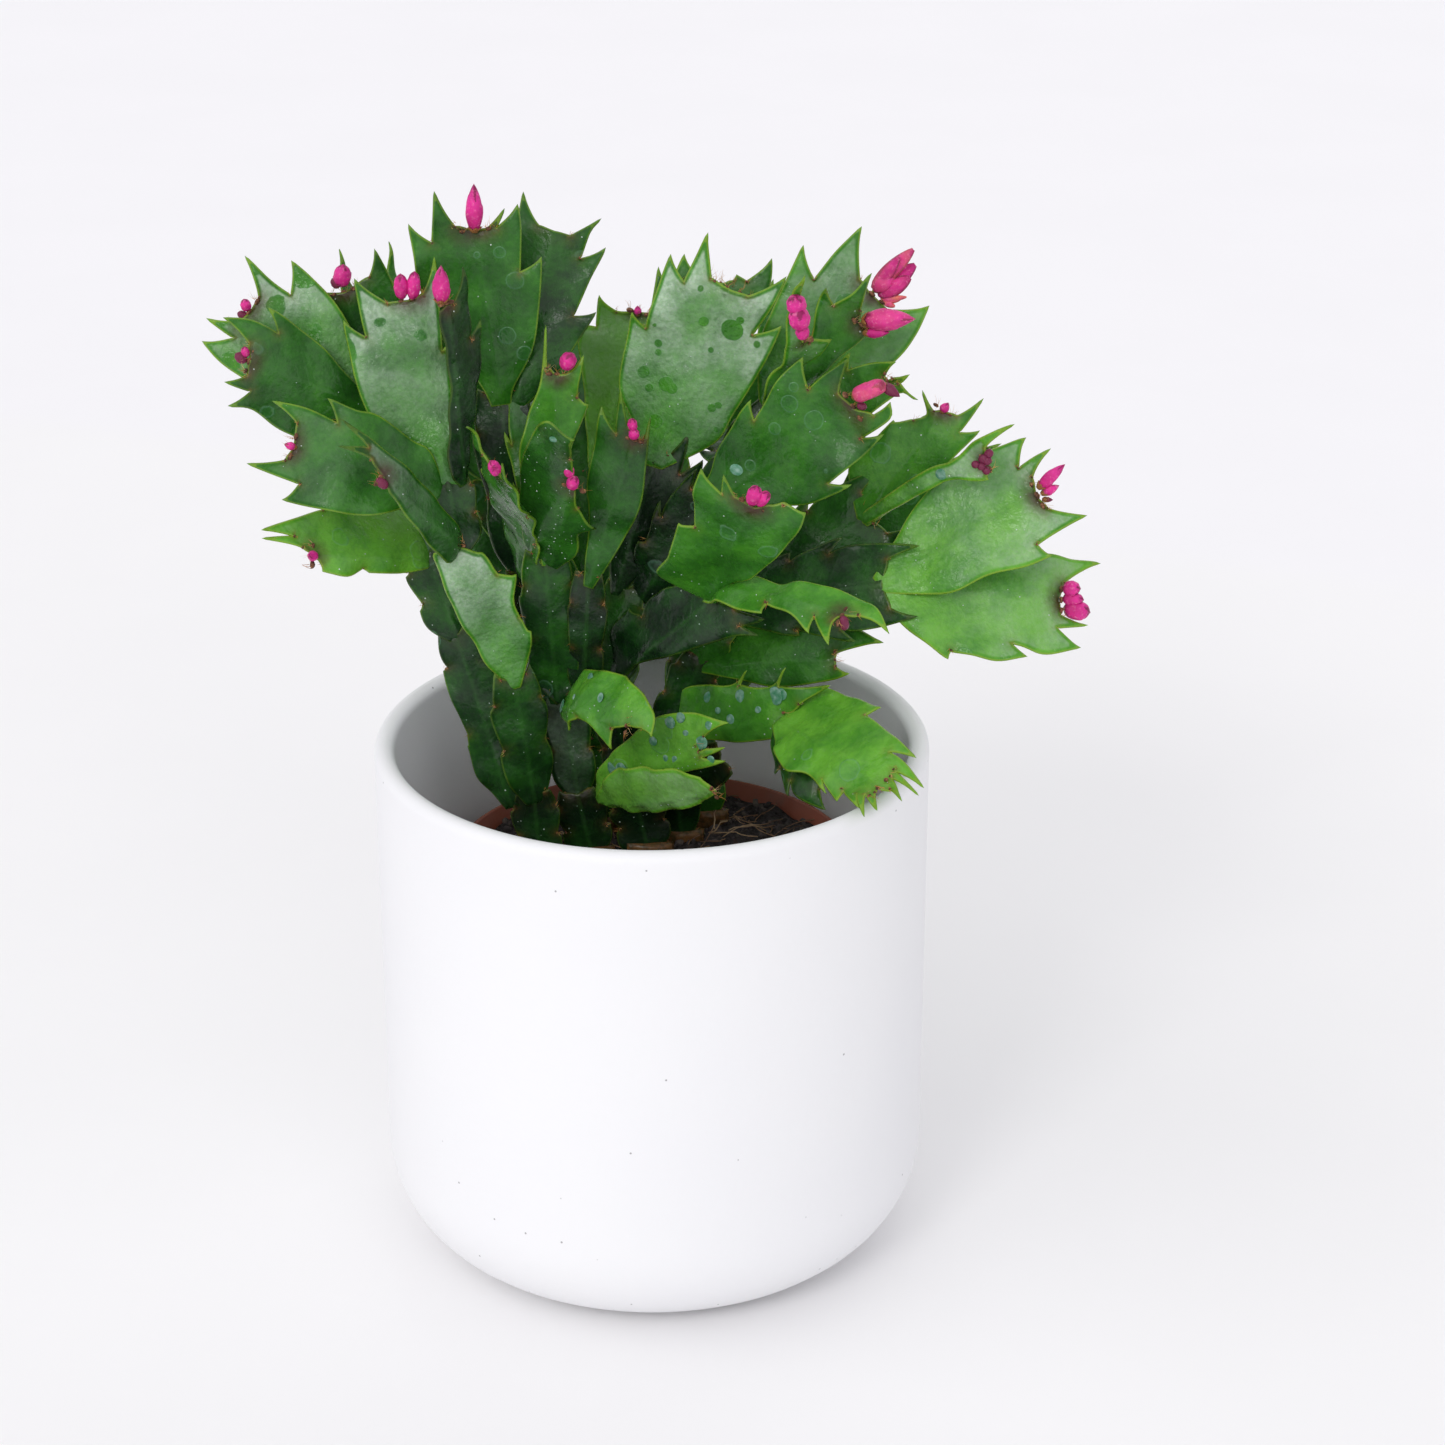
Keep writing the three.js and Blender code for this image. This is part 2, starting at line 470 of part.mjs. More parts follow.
function coverPotGeometry() {
  const { radius, height, wall, floor, footRadius, innerFootRadius, sides } = coverPot;
  const lip = wall / 2;
  const inside = radius - wall;
  return turned([
    [0, 0],
    ...arc(radius - footRadius, footRadius, footRadius, -90, 0, 5),
    ...arc(radius - lip, height - lip, lip, 0, 180, 4),
    ...arc(inside - innerFootRadius, floor + innerFootRadius, innerFootRadius, 0, -90, 3),
    [0, floor],
  ], sides);
}

function nurseryPotGeometry() {
  const { rimRadius, rimHeight, rimTop, bodyRadius, footRadius, wall, sides } = nurseryPot;
  const bottom = coverPot.floor + clearance;
  const rimFoot = rimTop - rimHeight;
  const shell = solidOf(turned([
    [0, bottom],
    [footRadius - wall, bottom],
    [footRadius, bottom + wall],
    [bodyRadius - wall, rimFoot - wall],
    [rimRadius, rimFoot],
    [rimRadius, rimTop - wall / 2],
    [rimRadius - wall / 2, rimTop],
    [rimRadius - 1.5 * wall, rimTop],
    [bodyRadius - 2 * wall, rimFoot],
    [footRadius - wall, bottom + 2 * wall],
    [footRadius - 2 * wall, bottom + wall],
    [0, bottom + wall],
  ], sides));
  const drain = new THREE.CylinderGeometry(nurseryPot.drainRadius, nurseryPot.drainRadius, 6 * wall, 8);
  drain.rotateX(Math.PI / 2);
  const drains = Array.from({ length: nurseryPot.drainHoles }, (_, i) => {
    const angle = (i * 2 * Math.PI) / nurseryPot.drainHoles;
    const place = [nurseryPot.drainCircle * Math.cos(angle), nurseryPot.drainCircle * Math.sin(angle)];
    return solidOf(drain.clone().translate(place[0], place[1], bottom));
  });
  return geometryOf(drains.reduce((whole, hole) => whole.subtract(hole), shell));
}

// The soil's surface: small crumbly waves and a low mound
function soilTop(x, y) {
  const { mound } = soil;
  const waves = Math.sin(x * 0.31 + 1.3) * Math.cos(y * 0.27) + 0.6 * Math.sin(x * 0.13 - y * 0.41);
  const away = ((x - mound.x) ** 2 + (y - mound.y) ** 2) / mound.spread ** 2;
  return soil.top + soil.relief * 0.5 * waves + mound.height * Math.exp(-away);
}

// A stem's foot: an upright peg with an oval section
function footPeg(stem, grown) {
  const [x, y] = stem.foot;
  const bottom = soil.top - foot.depth - grown;
  const top = soil.top + foot.rise + (grown > 0 ? foot.depth : 0);
  const peg = new THREE.CylinderGeometry(1, 1, top - bottom, foot.sides).rotateX(Math.PI / 2);
  peg.scale(stem.width / 2 + grown, foot.halfThickness + grown, 1);
  return solidOf(peg.translate(x, y, (top + bottom) / 2));
}

function soilGeometry() {
  const { rimTop, rimHeight, bodyRadius, footRadius, wall } = nurseryPot;
  const rimFoot = rimTop - rimHeight;
  const bottom = coverPot.floor + clearance + wall + clearance;
  const side = clearance * 1.2;
  const topRadius = bodyRadius - 2 * wall - side;
  const profile = [[0, bottom], [footRadius - 2 * wall - side, bottom]];
  profile.push([footRadius - wall - side, bottom + wall], [topRadius, rimFoot]);
  for (let ring = 0; ring <= soil.rings; ring += 1) {
    profile.push([topRadius * (1 - ring / soil.rings), soil.top]);
  }
  const body = turned(profile, soil.sides);
  const places = body.attributes.position;
  for (let i = 0; i < places.count; i += 1) {
    if (places.getZ(i) > rimFoot + clearance) {
      places.setZ(i, soilTop(places.getX(i), places.getY(i)));
    }
  }
  const holes = Object.values(stems).map((stem) => footPeg(stem, clearance));
  return geometryOf(holes.reduce((whole, hole) => whole.subtract(hole), solidOf(body)));
}

// Where the points of a pad lie: its base and end, its bend, and which way it faces
function padFrame(from, to, width, bend) {
  const chord = to.clone().sub(from);
  const length = chord.length();
  const along = chord.normalize();
  const face = towardEye.clone().addScaledVector(along, -towardEye.dot(along)).normalize();
  face.applyAxisAngle(along, THREE.MathUtils.degToRad(bend.roll ?? 0));
  const side = along.clone().cross(face);
  const curl = THREE.MathUtils.degToRad(bend.curl || 0.01);
  const radius = length / (2 * Math.sin(curl / 2));
  const cup = bend.cup ?? 0;

  function point(across, v, lift = 0) {
    const angle = curl * (v - 0.5);
    const normal = face.clone().multiplyScalar(Math.cos(angle)).addScaledVector(along, -Math.sin(angle));
    const spread = across * (width / 2);
    const raise = lift + cup * (width / 2) * Math.abs(across) ** pad.cupPower;
    return from.clone()
      .addScaledVector(along, radius * (Math.sin(curl / 2) + Math.sin(angle)))
      .addScaledVector(face, radius * (Math.cos(curl / 2) - Math.cos(angle)))
      .addScaledVector(side, spread)
      .addScaledVector(normal, raise);
  }

  const endAngle = curl / 2;
  const endDirection = along.clone().multiplyScalar(Math.cos(endAngle))
    .addScaledVector(face, Math.sin(endAngle));
  const endFace = face.clone().multiplyScalar(Math.cos(endAngle))
    .addScaledVector(along, -Math.sin(endAngle));
  return { point, side, length, width, endDirection, endFace };
}

// Where a point is seen, as [x, h]
function sight(point) {
  const rise = point.z - coverPot.height;
  const up = point.y * Math.sin(eye.elevation) + rise * Math.cos(eye.elevation);
  const nearer = rise * Math.sin(eye.elevation) - point.y * Math.cos(eye.elevation);
  const scale = 1 - nearer / eye.distance;
  return [eye.aimX + (point.x - eye.aimX) / scale, eye.aimH + (up - eye.aimH) / scale];
}

// The place [across, along] on a pad that is seen at [x, h], found in a few straight steps
function placeSeenAt(frame, [x, h]) {
  const nudge = 0.01;
  let [across, v] = [0, 0.5];
  for (let step = 0; step < 6; step += 1) {
    const [x0, h0] = sight(frame.point(across, v));
    const [xAcross, hAcross] = sight(frame.point(across + nudge, v));
    const [xAlong, hAlong] = sight(frame.point(across, v + nudge));
    const area = (xAcross - x0) * (hAlong - h0) - (xAlong - x0) * (hAcross - h0);
    across += (nudge * ((hAlong - h0) * (x - x0) - (xAlong - x0) * (h - h0))) / area;
    v += (nudge * ((xAcross - x0) * (h - h0) - (hAcross - h0) * (x - x0))) / area;
  }
  return [across, v];
}

// One side of a pad's outline with its small irregularities
function variedSide(side, draw) {
  const wobble = outlineWobble;
  const points = [];
  side.forEach(([across, v, isTip], i) => {
    if (isTip) {
      const before = points.at(-1);
      const reach = 1 + wobble.tooth * draw();
      points.push({
        across: before.across + (across - side[i - 1][0]) * reach,
        v: before.v + (v - side[i - 1][1]) * reach,
        isTip,
      });
    } else {
      const loose = i > 0 && i < side.length - 1 ? 1 : 0;
      points.push({
        across: across * (1 + loose * wobble.across * draw()),
        v: v + loose * wobble.along * draw(),
      });
    }
  });
  return points;
}

// Both sides of a pad's outline, the clockwise one first
function outlineOf(name, bend, frame, draw) {
  if (!seenOutlines[name]) {
    const side = outlines[bend.shape ?? "normal"];
    return [1, -1].map((hand) => ({ hand, points: variedSide(side, draw) }));
  }
  return [1, -1].map((hand, i) => {
    const points = seenOutlines[name][i].map(([x, h, isTip]) => {
      const [across, v] = placeSeenAt(frame, [x, h]);
      return { across: across * hand, v, isTip };
    });
    return { hand, points: [{ across: pad.neck, v: 0 }, ...points] };
  });
}

// A closed toothed pad: two faces split alike into triangles, joined round the edge
function padSolid(frame, sides, draw) {
  const places = [];
  const triangles = [];

  // Both faces' vertices for one outline point, upper first
  function pair(across, v, thickness, lift = 0) {
    for (const half of [thickness / 2, -thickness / 2]) {
      places.push(...frame.point(across, v, lift + half).toArray());
    }
    return places.length / 3 - 2;
  }

  function facet(a, b, c) {
    triangles.push(a, b, c, a + 1, c + 1, b + 1);
  }

  function wall(a, b) {
    triangles.push(a, a + 1, b + 1, a, b + 1, b);
  }

  const core = midribSteps.map((v) => pair(0, v, pad.midThickness));
  const end = pair(0, midribEnd, pad.edgeThickness * 1.3);
  for (const { hand, points } of sides) {
    const turn = (a, b, c) => (hand > 0 ? facet(a, b, c) : facet(a, c, b));
    const closeEdge = (a, b) => (hand > 0 ? wall(a, b) : wall(b, a));
    const corner = ({ across, v }) => pair(hand * across, v, pad.edgeThickness);
    let reached = 0;
    let rim = corner(points[0]);
    closeEdge(core[0], rim);
    points.slice(1).forEach((point, i) => {
      if (point.isTip) {
        return;
      }
      while (reached + 1 < core.length && midribSteps[reached + 1] < point.v - pad.fanLag) {
        turn(core[reached], rim, core[reached + 1]);
        reached += 1;
      }
      const next = corner(point);
      turn(core[reached], rim, next);
      const before = points[i];
      if (before.isTip) {
        const lift = (outlineWobble.lift * draw() * frame.width) / 2;
        const tooth = pair(hand * before.across, before.v, pad.toothThickness, lift);
        turn(rim, tooth, next);
        closeEdge(rim, tooth);
        closeEdge(tooth, next);
      } else {
        closeEdge(rim, next);
      }
      rim = next;
    });
    for (; reached + 1 < core.length; reached += 1) {
      turn(core[reached], rim, core[reached + 1]);
    }
    turn(core.at(-1), rim, end);
    closeEdge(rim, end);
  }

  const mesh = new wasm.Mesh({
    numProp: 3,
    vertProperties: new Float32Array(places),
    triVerts: new Uint32Array(triangles),
  });
  return new wasm.Manifold(mesh);
}

// All the pads of one stem, fused with its foot
function growStem(stem, firstSeed, frames) {
  const [x, y] = stem.foot;
  const solids = [footPeg(stem, 0)];
  const grown = new Map();
  stem.pads.forEach(([name, parentName, end, width, bend], i) => {
    const parent = frames.get(parentName);
    const rank = grown.get(parentName) ?? 0;
    grown.set(parentName, rank + 1);
    const base = new THREE.Vector3(x, y, soil.top);
    if (parent) {
      base.copy(parent.tip);
      base.addScaledVector(parent.endDirection, -pad.sink - rank * pad.siblingStep);
      base.addScaledVector(parent.side, (bend.slip ?? 0) + rank * pad.siblingStep);
    }
    const tip = seen(end);
    const frame = padFrame(base, tip, width, bend);
    frames.set(name, { ...frame, tip });
    const draw = random(firstSeed + i);
    solids.push(padSolid(frame, outlineOf(name, bend, frame, draw), draw));
  });
  return fuse(solids);
}

// A cluster of buds on the end of a pad, joined where they start
function budCluster(frame, members) {
  const start = frame.point(0, midribEnd).addScaledVector(frame.endDirection, bud.gap);
  return fuse(members.map(([lean, rise, length, width]) => {
    const profile = [[0, 0], [0.24, 0.08], [0.5, 0.42], [0.36, 0.78], [0, 1]]
      .map(([radius, v]) => [radius * width, v * length]);
    const direction = frame.endDirection.clone()
      .applyAxisAngle(frame.side, THREE.MathUtils.degToRad(rise))
      .applyAxisAngle(frame.endFace, THREE.MathUtils.degToRad(-lean));
    const shape = turned(profile, bud.sides);
    const upright = new THREE.Vector3(0, 0, 1);
    shape.applyQuaternion(new THREE.Quaternion().setFromUnitVectors(upright, direction));
    return solidOf(shape.translate(start.x, start.y, start.z));
  }));
}

const plant = new THREE.Group();

function addPiece(name, geometry, finish) {
  const mesh = new THREE.Mesh(geometry, finish);
  mesh.name = name;
  plant.add(mesh);
}

addPiece("cover_pot", coverPotGeometry(), material(colours.ceramic, 0.6));
addPiece("nursery_pot", nurseryPotGeometry(), material(colours.terracotta, 0.5));
addPiece("soil", soilGeometry(), material(colours.peat, 0.95));

const green = material(colours.pad, 0.35);
const frames = new Map();
Object.entries(stems).forEach(([name, stem], i) => {
  addPiece(name, geometryOf(growStem(stem, 100 * (i + 1), frames)), green);
});

const pink = material(colours.bud, 0.4);
for (const [padName, members] of buds) {
  addPiece(`buds_${padName}`, geometryOf(budCluster(frames.get(padName), members)), pink);
}

export default plant;
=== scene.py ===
# Potted thanksgiving cactus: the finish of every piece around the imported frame, with its light and camera.
import bpy
import math
import numpy as np
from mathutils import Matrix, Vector
from mathutils.geometry import delaunay_2d_cdt


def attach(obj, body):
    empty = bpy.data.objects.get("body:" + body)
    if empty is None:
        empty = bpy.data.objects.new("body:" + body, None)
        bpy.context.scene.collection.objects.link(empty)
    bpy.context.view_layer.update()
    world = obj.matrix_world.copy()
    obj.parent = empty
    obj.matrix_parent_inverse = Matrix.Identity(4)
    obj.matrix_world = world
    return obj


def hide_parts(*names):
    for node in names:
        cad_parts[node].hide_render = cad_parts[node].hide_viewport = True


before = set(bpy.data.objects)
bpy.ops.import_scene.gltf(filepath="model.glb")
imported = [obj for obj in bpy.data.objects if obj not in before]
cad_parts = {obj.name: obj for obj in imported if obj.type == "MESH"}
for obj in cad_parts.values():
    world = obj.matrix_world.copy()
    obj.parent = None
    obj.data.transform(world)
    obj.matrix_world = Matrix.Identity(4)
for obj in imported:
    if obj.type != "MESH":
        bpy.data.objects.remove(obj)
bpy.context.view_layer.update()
bodyName = "root"
mm = 0.001               # the tables below are in millimetres, and meshes are made in metres
print("frame loaded:", len(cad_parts), "nodes")


# Node trees: one call adds a node, sets its options, and links or sets its inputs
def addNode(tree, kind, inputs=None, **options):
    node = tree.nodes.new(kind)
    for key, value in options.items():
        setattr(node, key, value)
    for key, value in (inputs or {}).items():
        fill(tree, node.inputs[key], value)
    return node


def fill(tree, socket, value):
    if isinstance(value, bpy.types.NodeSocket):
        tree.links.new(value, socket)
    elif value is not None:
        socket.default_value = value


def outputOf(tree, kind, inputs=None, **options):
    return addNode(tree, kind, inputs, **options).outputs[0]


def calc(tree, operation, *values):
    return outputOf(tree, "ShaderNodeMath", dict(enumerate(values)), operation=operation)


def product(tree, first, *others):
    for other in others:
        first = calc(tree, "MULTIPLY", first, other)
    return first


def remap(tree, value, low, high, toLow=0.0, toHigh=1.0):
    inputs = {0: value, 1: low, 2: high, 3: toLow, 4: toHigh}
    return outputOf(tree, "ShaderNodeMapRange", inputs, interpolation_type="SMOOTHSTEP")


def mixed(tree, share, first, second):
    node = addNode(tree, "ShaderNodeMix", data_type="RGBA")
    sockets = {s.identifier: s for s in node.inputs}
    fill(tree, sockets["Factor_Float"], share)
    for key, value in (("A_Color", first), ("B_Color", second)):
        fill(tree, sockets[key], value if isinstance(value, bpy.types.NodeSocket) else (*value, 1))
    return next(s for s in node.outputs if s.identifier == "Result_Color")


def noiseOf(tree, place, scale, detail=2.0, roughness=0.5):
    inputs = {"Vector": place, "Scale": scale, "Detail": detail, "Roughness": roughness}
    return outputOf(tree, "ShaderNodeTexNoise", inputs)


def mottled(tree, place, scale, detail, toLow, toHigh):
    # noise spread over a range: hardly any of its values lie outside 0.3 to 0.7
    return remap(tree, noiseOf(tree, place, scale, detail), 0.3, 0.7, toLow, toHigh)


def rampOf(tree, value, stops):
    ramp = addNode(tree, "ShaderNodeValToRGB", {0: value})
    elements = ramp.color_ramp.elements
    while len(elements) < len(stops):
        elements.new(0.5)
    for element, (position, colour) in zip(elements, stops):
        element.position = position
        element.color = (*colour, 1)
    return ramp.outputs[0]


def channels(tree, attributeName):
    found = addNode(tree, "ShaderNodeAttribute", attribute_name=attributeName)
    split = addNode(tree, "ShaderNodeSeparateColor", {0: found.outputs["Color"]})
    return (*split.outputs, found.outputs["Alpha"])


def bumped(tree, height, strength, distance, under=None):
    inputs = {"Height": height, "Strength": strength, "Distance": distance, "Normal": under}
    return outputOf(tree, "ShaderNodeBump", inputs)


def surfaceMaterial(name, paint):
    # paint(tree, place) returns the principled shader's inputs
    made = bpy.data.materials.new(name)
    made.use_nodes = True
    tree = made.node_tree
    tree.nodes.clear()
    place = addNode(tree, "ShaderNodeTexCoord").outputs["Object"]
    shader = addNode(tree, "ShaderNodeBsdfPrincipled", paint(tree, place))
    addNode(tree, "ShaderNodeOutputMaterial", {"Surface": shader.outputs[0]})
    return made


# Meshes: points are in millimetres until the object is made
def addLayer(mesh, name, kind, field, values):
    layer = mesh.attributes.new(name, kind, "POINT")
    layer.data.foreach_set(field, np.asarray(values, dtype=np.float32).ravel())


def pieceFrom(name, points, faces, material, layers=None):
    mesh = bpy.data.meshes.new(name)
    mesh.from_pydata((np.asarray(points) * mm).tolist(), [], [list(map(int, f)) for f in faces])
    for key, values in (layers or {}).items():
        addLayer(mesh, key, "FLOAT_COLOR", "color", values)
    mesh.polygons.foreach_set("use_smooth", [True] * len(mesh.polygons))
    if material:
        mesh.materials.append(material)
    mesh.update()
    piece = bpy.data.objects.new(name, mesh)
    bpy.context.scene.collection.objects.link(piece)
    return piece


def joinedPiece(name, parts, material):
    # one object from several meshes, each a dictionary of points, faces and named layers
    offsets = np.cumsum([0] + [len(part["points"]) for part in parts])
    faces = [tuple(int(v) + offset for v in face)
             for part, offset in zip(parts, offsets) for face in part["faces"]]
    layers = {key: np.concatenate([part["layers"][key] for part in parts]) for key in parts[0]["layers"]}
    return pieceFrom(name, np.concatenate([part["points"] for part in parts]), faces, material, layers)


def ringFaces(sides, first, last):
    # quads between each ring of points and the next
    return [(j * sides + i, j * sides + (i + 1) % sides, (j + 1) * sides + (i + 1) % sides, (j + 1) * sides + i)
            for j in range(first, last) for i in range(sides)]


def fanFaces(sides, first, centre, under=False):
    # triangles from one ring of points to the point in its middle
    fan = [(first + i, first + (i + 1) % sides, centre) for i in range(sides)]
    return [(b, a, c) for a, b, c in fan] if under else fan


def settle(piece, slotName, *nodeNames):
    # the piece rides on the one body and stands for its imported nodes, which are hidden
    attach(piece, bodyName)
    if nodeNames:
        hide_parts(*nodeNames)
    return piece


# Geometry Nodes: a tree with named inputs, run on a host mesh whose result is kept as a plain mesh
def newTree(name, inputs):
    tree = bpy.data.node_groups.new(name, "GeometryNodeTree")
    tree.interface.new_socket("Geometry", in_out="INPUT", socket_type="NodeSocketGeometry")
    for label, value in inputs.items():
        kind = "NodeSocketInt" if isinstance(value, int) else "NodeSocketFloat"
        tree.interface.new_socket(label, in_out="INPUT", socket_type=kind).default_value = value
    tree.interface.new_socket("Geometry", in_out="OUTPUT", socket_type="NodeSocketGeometry")
    return tree, tree.nodes.new("NodeGroupInput").outputs


def endTree(tree, geometry, material, weld=None):
    real = outputOf(tree, "GeometryNodeRealizeInstances", {0: geometry})
    if weld:
        real = outputOf(tree, "GeometryNodeMergeByDistance", {"Geometry": real, "Distance": weld})
    smooth = outputOf(tree, "GeometryNodeSetShadeSmooth", {0: real})
    done = addNode(tree, "GeometryNodeSetMaterial", {"Geometry": smooth, "Material": material})
    addNode(tree, "NodeGroupOutput", {0: done.outputs[0]})
    return tree


def grow(name, tree, host, **values):
    modifier = host.modifiers.new("growth", "NODES")
    modifier.node_group = tree
    for item in tree.interface.items_tree:
        key = item.name.replace(" ", "")
        key = key[0].lower() + key[1:]
        if item.in_out == "INPUT" and key in values:
            modifier[item.identifier] = values[key]
    depsgraph = bpy.context.evaluated_depsgraph_get()
    mesh = bpy.data.meshes.new_from_object(host.evaluated_get(depsgraph))
    host.modifiers.remove(modifier)
    bpy.data.objects.remove(host)
    mesh.name = name
    piece = bpy.data.objects.new(name, mesh)
    bpy.context.scene.collection.objects.link(piece)
    return piece


def randomVector(tree, low, high, seed, salt):
    inputs = {0: low, 1: high, "Seed": calc(tree, "ADD", seed, salt)}
    return outputOf(tree, "FunctionNodeRandomValue", inputs, data_type="FLOAT_VECTOR")


def randomNumber(tree, low, high, seed, salt):
    node = addNode(tree, "FunctionNodeRandomValue", {"Seed": calc(tree, "ADD", seed, salt)})
    fill(tree, node.inputs[2], low)
    fill(tree, node.inputs[3], high)
    return node.outputs[1]


def vectorMath(tree, operation, *values, scale=None):
    inputs = dict(enumerate(values))
    if scale is not None:
        inputs["Scale"] = scale
    return outputOf(tree, "ShaderNodeVectorMath", inputs, operation=operation)


def attributeOf(tree, name, kind="FLOAT"):
    return outputOf(tree, "GeometryNodeInputNamedAttribute", {"Name": name}, data_type=kind)


def copiesOn(tree, points, copy, turn, scale):
    placed = outputOf(tree, "GeometryNodeInstanceOnPoints", {
        "Points": points, "Instance": copy, "Rotation": turn, "Scale": scale})
    return outputOf(tree, "GeometryNodeRealizeInstances", {0: placed})


def shaken(tree, geometry, amount, scale, detail, middle=(0.5, 0.5, 0.5), stretch=None):
    # moves every point by a smooth noise over its place
    where = outputOf(tree, "GeometryNodeInputPosition")
    noise = addNode(tree, "ShaderNodeTexNoise", {"Vector": where, "Scale": scale, "Detail": detail}).outputs[1]
    noise = vectorMath(tree, "SUBTRACT", noise, middle)
    if stretch:
        noise = vectorMath(tree, "MULTIPLY", noise, stretch)
    offset = vectorMath(tree, "SCALE", noise, scale=amount)
    return outputOf(tree, "GeometryNodeSetPosition", {"Geometry": geometry, "Offset": offset})


# The view of the photograph: the eye looks along +Y and down
view = dict(distance=900, elevation=math.radians(23.9), aim=(17.8, 0, 142.6), lens=88.9, sensor=36)
aimHeight = 3
towardEye = np.array([0, -math.cos(view["elevation"]), math.sin(view["elevation"])])
eyePlace = np.array(view["aim"]) + view["distance"] * towardEye

cameraData = bpy.data.cameras.new("camera")
cameraData.lens = view["lens"]
cameraData.sensor_width = view["sensor"]
camera = bpy.data.objects.new("camera", cameraData)
camera.location = eyePlace * mm
camera.rotation_mode = "QUATERNION"
camera.rotation_quaternion = Vector(-towardEye).to_track_quat("-Z", "Y")
bpy.context.scene.collection.objects.link(camera)
bpy.context.scene.camera = camera
bpy.context.scene.view_settings.view_transform = "Standard"
print("camera set")

# Stage: one pale floor that turns slightly cooler beyond a faint line, and soft light from the upper left
floor = dict(half=6000, cells=24, near=(0.925, 0.917, 0.922), far=(0.925, 0.915, 0.933),
             line=(-270, 640), turn=math.radians(-19), softness=0.015)
suns = dict(
    left=dict(toward=(-0.8, -0.36, 0.7), spread=math.radians(60), strength=0.5, colour=(1, 0.99, 0.975)),
    pane=dict(toward=(-0.38, -0.78, 0.62), spread=math.radians(17), strength=0.5, colour=(1, 0.99, 0.975)),
    front=dict(toward=(0.12, -1, 0.5), spread=math.radians(60), strength=0.5, colour=(1, 0.995, 0.985)),
    back=dict(toward=(0.25, 0.9, 0.8), spread=math.radians(60), strength=0.35, colour=(1, 1, 1)),
)
sky = dict(colour=(0.965, 0.965, 1), strength=0.7)


def floorPaint(tree, place):
    turned = outputOf(tree, "ShaderNodeMapping", {
        "Vector": place, "Location": (-floor["line"][0] * mm, -floor["line"][1] * mm, 0)})
    split = addNode(tree, "ShaderNodeSeparateXYZ", {0: turned})
    across = calc(tree, "MULTIPLY", split.outputs[0], -math.sin(floor["turn"]))
    beyond = calc(tree, "ADD", across, calc(tree, "MULTIPLY", split.outputs[1], math.cos(floor["turn"])))
    share = remap(tree, beyond, -floor["softness"], floor["softness"])
    grain = mottled(tree, place, 9, 4, 0, 0.03)
    colour = mixed(tree, share, floor["near"], floor["far"])
    return {"Base Color": mixed(tree, grain, colour, (0.6, 0.6, 0.6)), "Roughness": 0.75,
            "Specular IOR Level": 0.2, "Normal": bumped(tree, noiseOf(tree, place, 60, 3), 0.02, 0.001)}


steps = np.linspace(-floor["half"], floor["half"], floor["cells"] + 1)
floorPoints = [(x, y, 0) for y in steps for x in steps]
row = floor["cells"] + 1
floorFaces = [(j * row + i, j * row + i + 1, (j + 1) * row + i + 1, (j + 1) * row + i)
              for j in range(row - 1) for i in range(row - 1)]
pieceFrom("floor", floorPoints, floorFaces, surfaceMaterial("paleFloor", floorPaint))

for name, sun in suns.items():
    data = bpy.data.lights.new(name, "SUN")
    data.energy = sun["strength"]
    data.color = sun["colour"]
    data.angle = sun["spread"]
    lamp = bpy.data.objects.new(name, data)
    lamp.rotation_mode = "QUATERNION"
    lamp.rotation_quaternion = Vector(sun["toward"]).to_track_quat("Z", "Y")
    bpy.context.scene.collection.objects.link(lamp)

world = bpy.data.worlds.new("softRoom")
world.use_nodes = True
background = world.node_tree.nodes["Background"]
background.inputs["Color"].default_value = (*sky["colour"], 1)
background.inputs["Strength"].default_value = sky["strength"]
bpy.context.scene.world = world
print("stage and light set")

# Both pots are turned by one tree from a profile of [radius, height, corner rounding]
# the inner colour is painted light: it lightens the shaded inside of the pot, within innerEdge and above
# innerRise
coverPot = dict(radius=70, height=139.3, wall=5.2, floor=8, footRadius=28, innerFootRadius=20, sides=192,
                lipShare=0.498, white=(0.86, 0.86, 0.875), cloudy=(0.84, 0.84, 0.865),
                inner=(0.93, 0.93, 0.965), innerEdge=(67, 65.5), innerRise=(30, 40), speck=(0.2, 0.19, 0.2))
nurseryPot = dict(rimRadius=52, rimHeight=6, rimTop=104.8, bodyRadius=50.4, footRadius=38, wall=1.1, sides=128,
                  drainHoles=6, drainRadius=4, drainCircle=26, softShare=0.45,
                  cornerSteps=4, terracotta=(0.24, 0.062, 0.034), dust=(0.12, 0.07, 0.05))
clearance = 0.3
weldGap = 1e-5           # metres


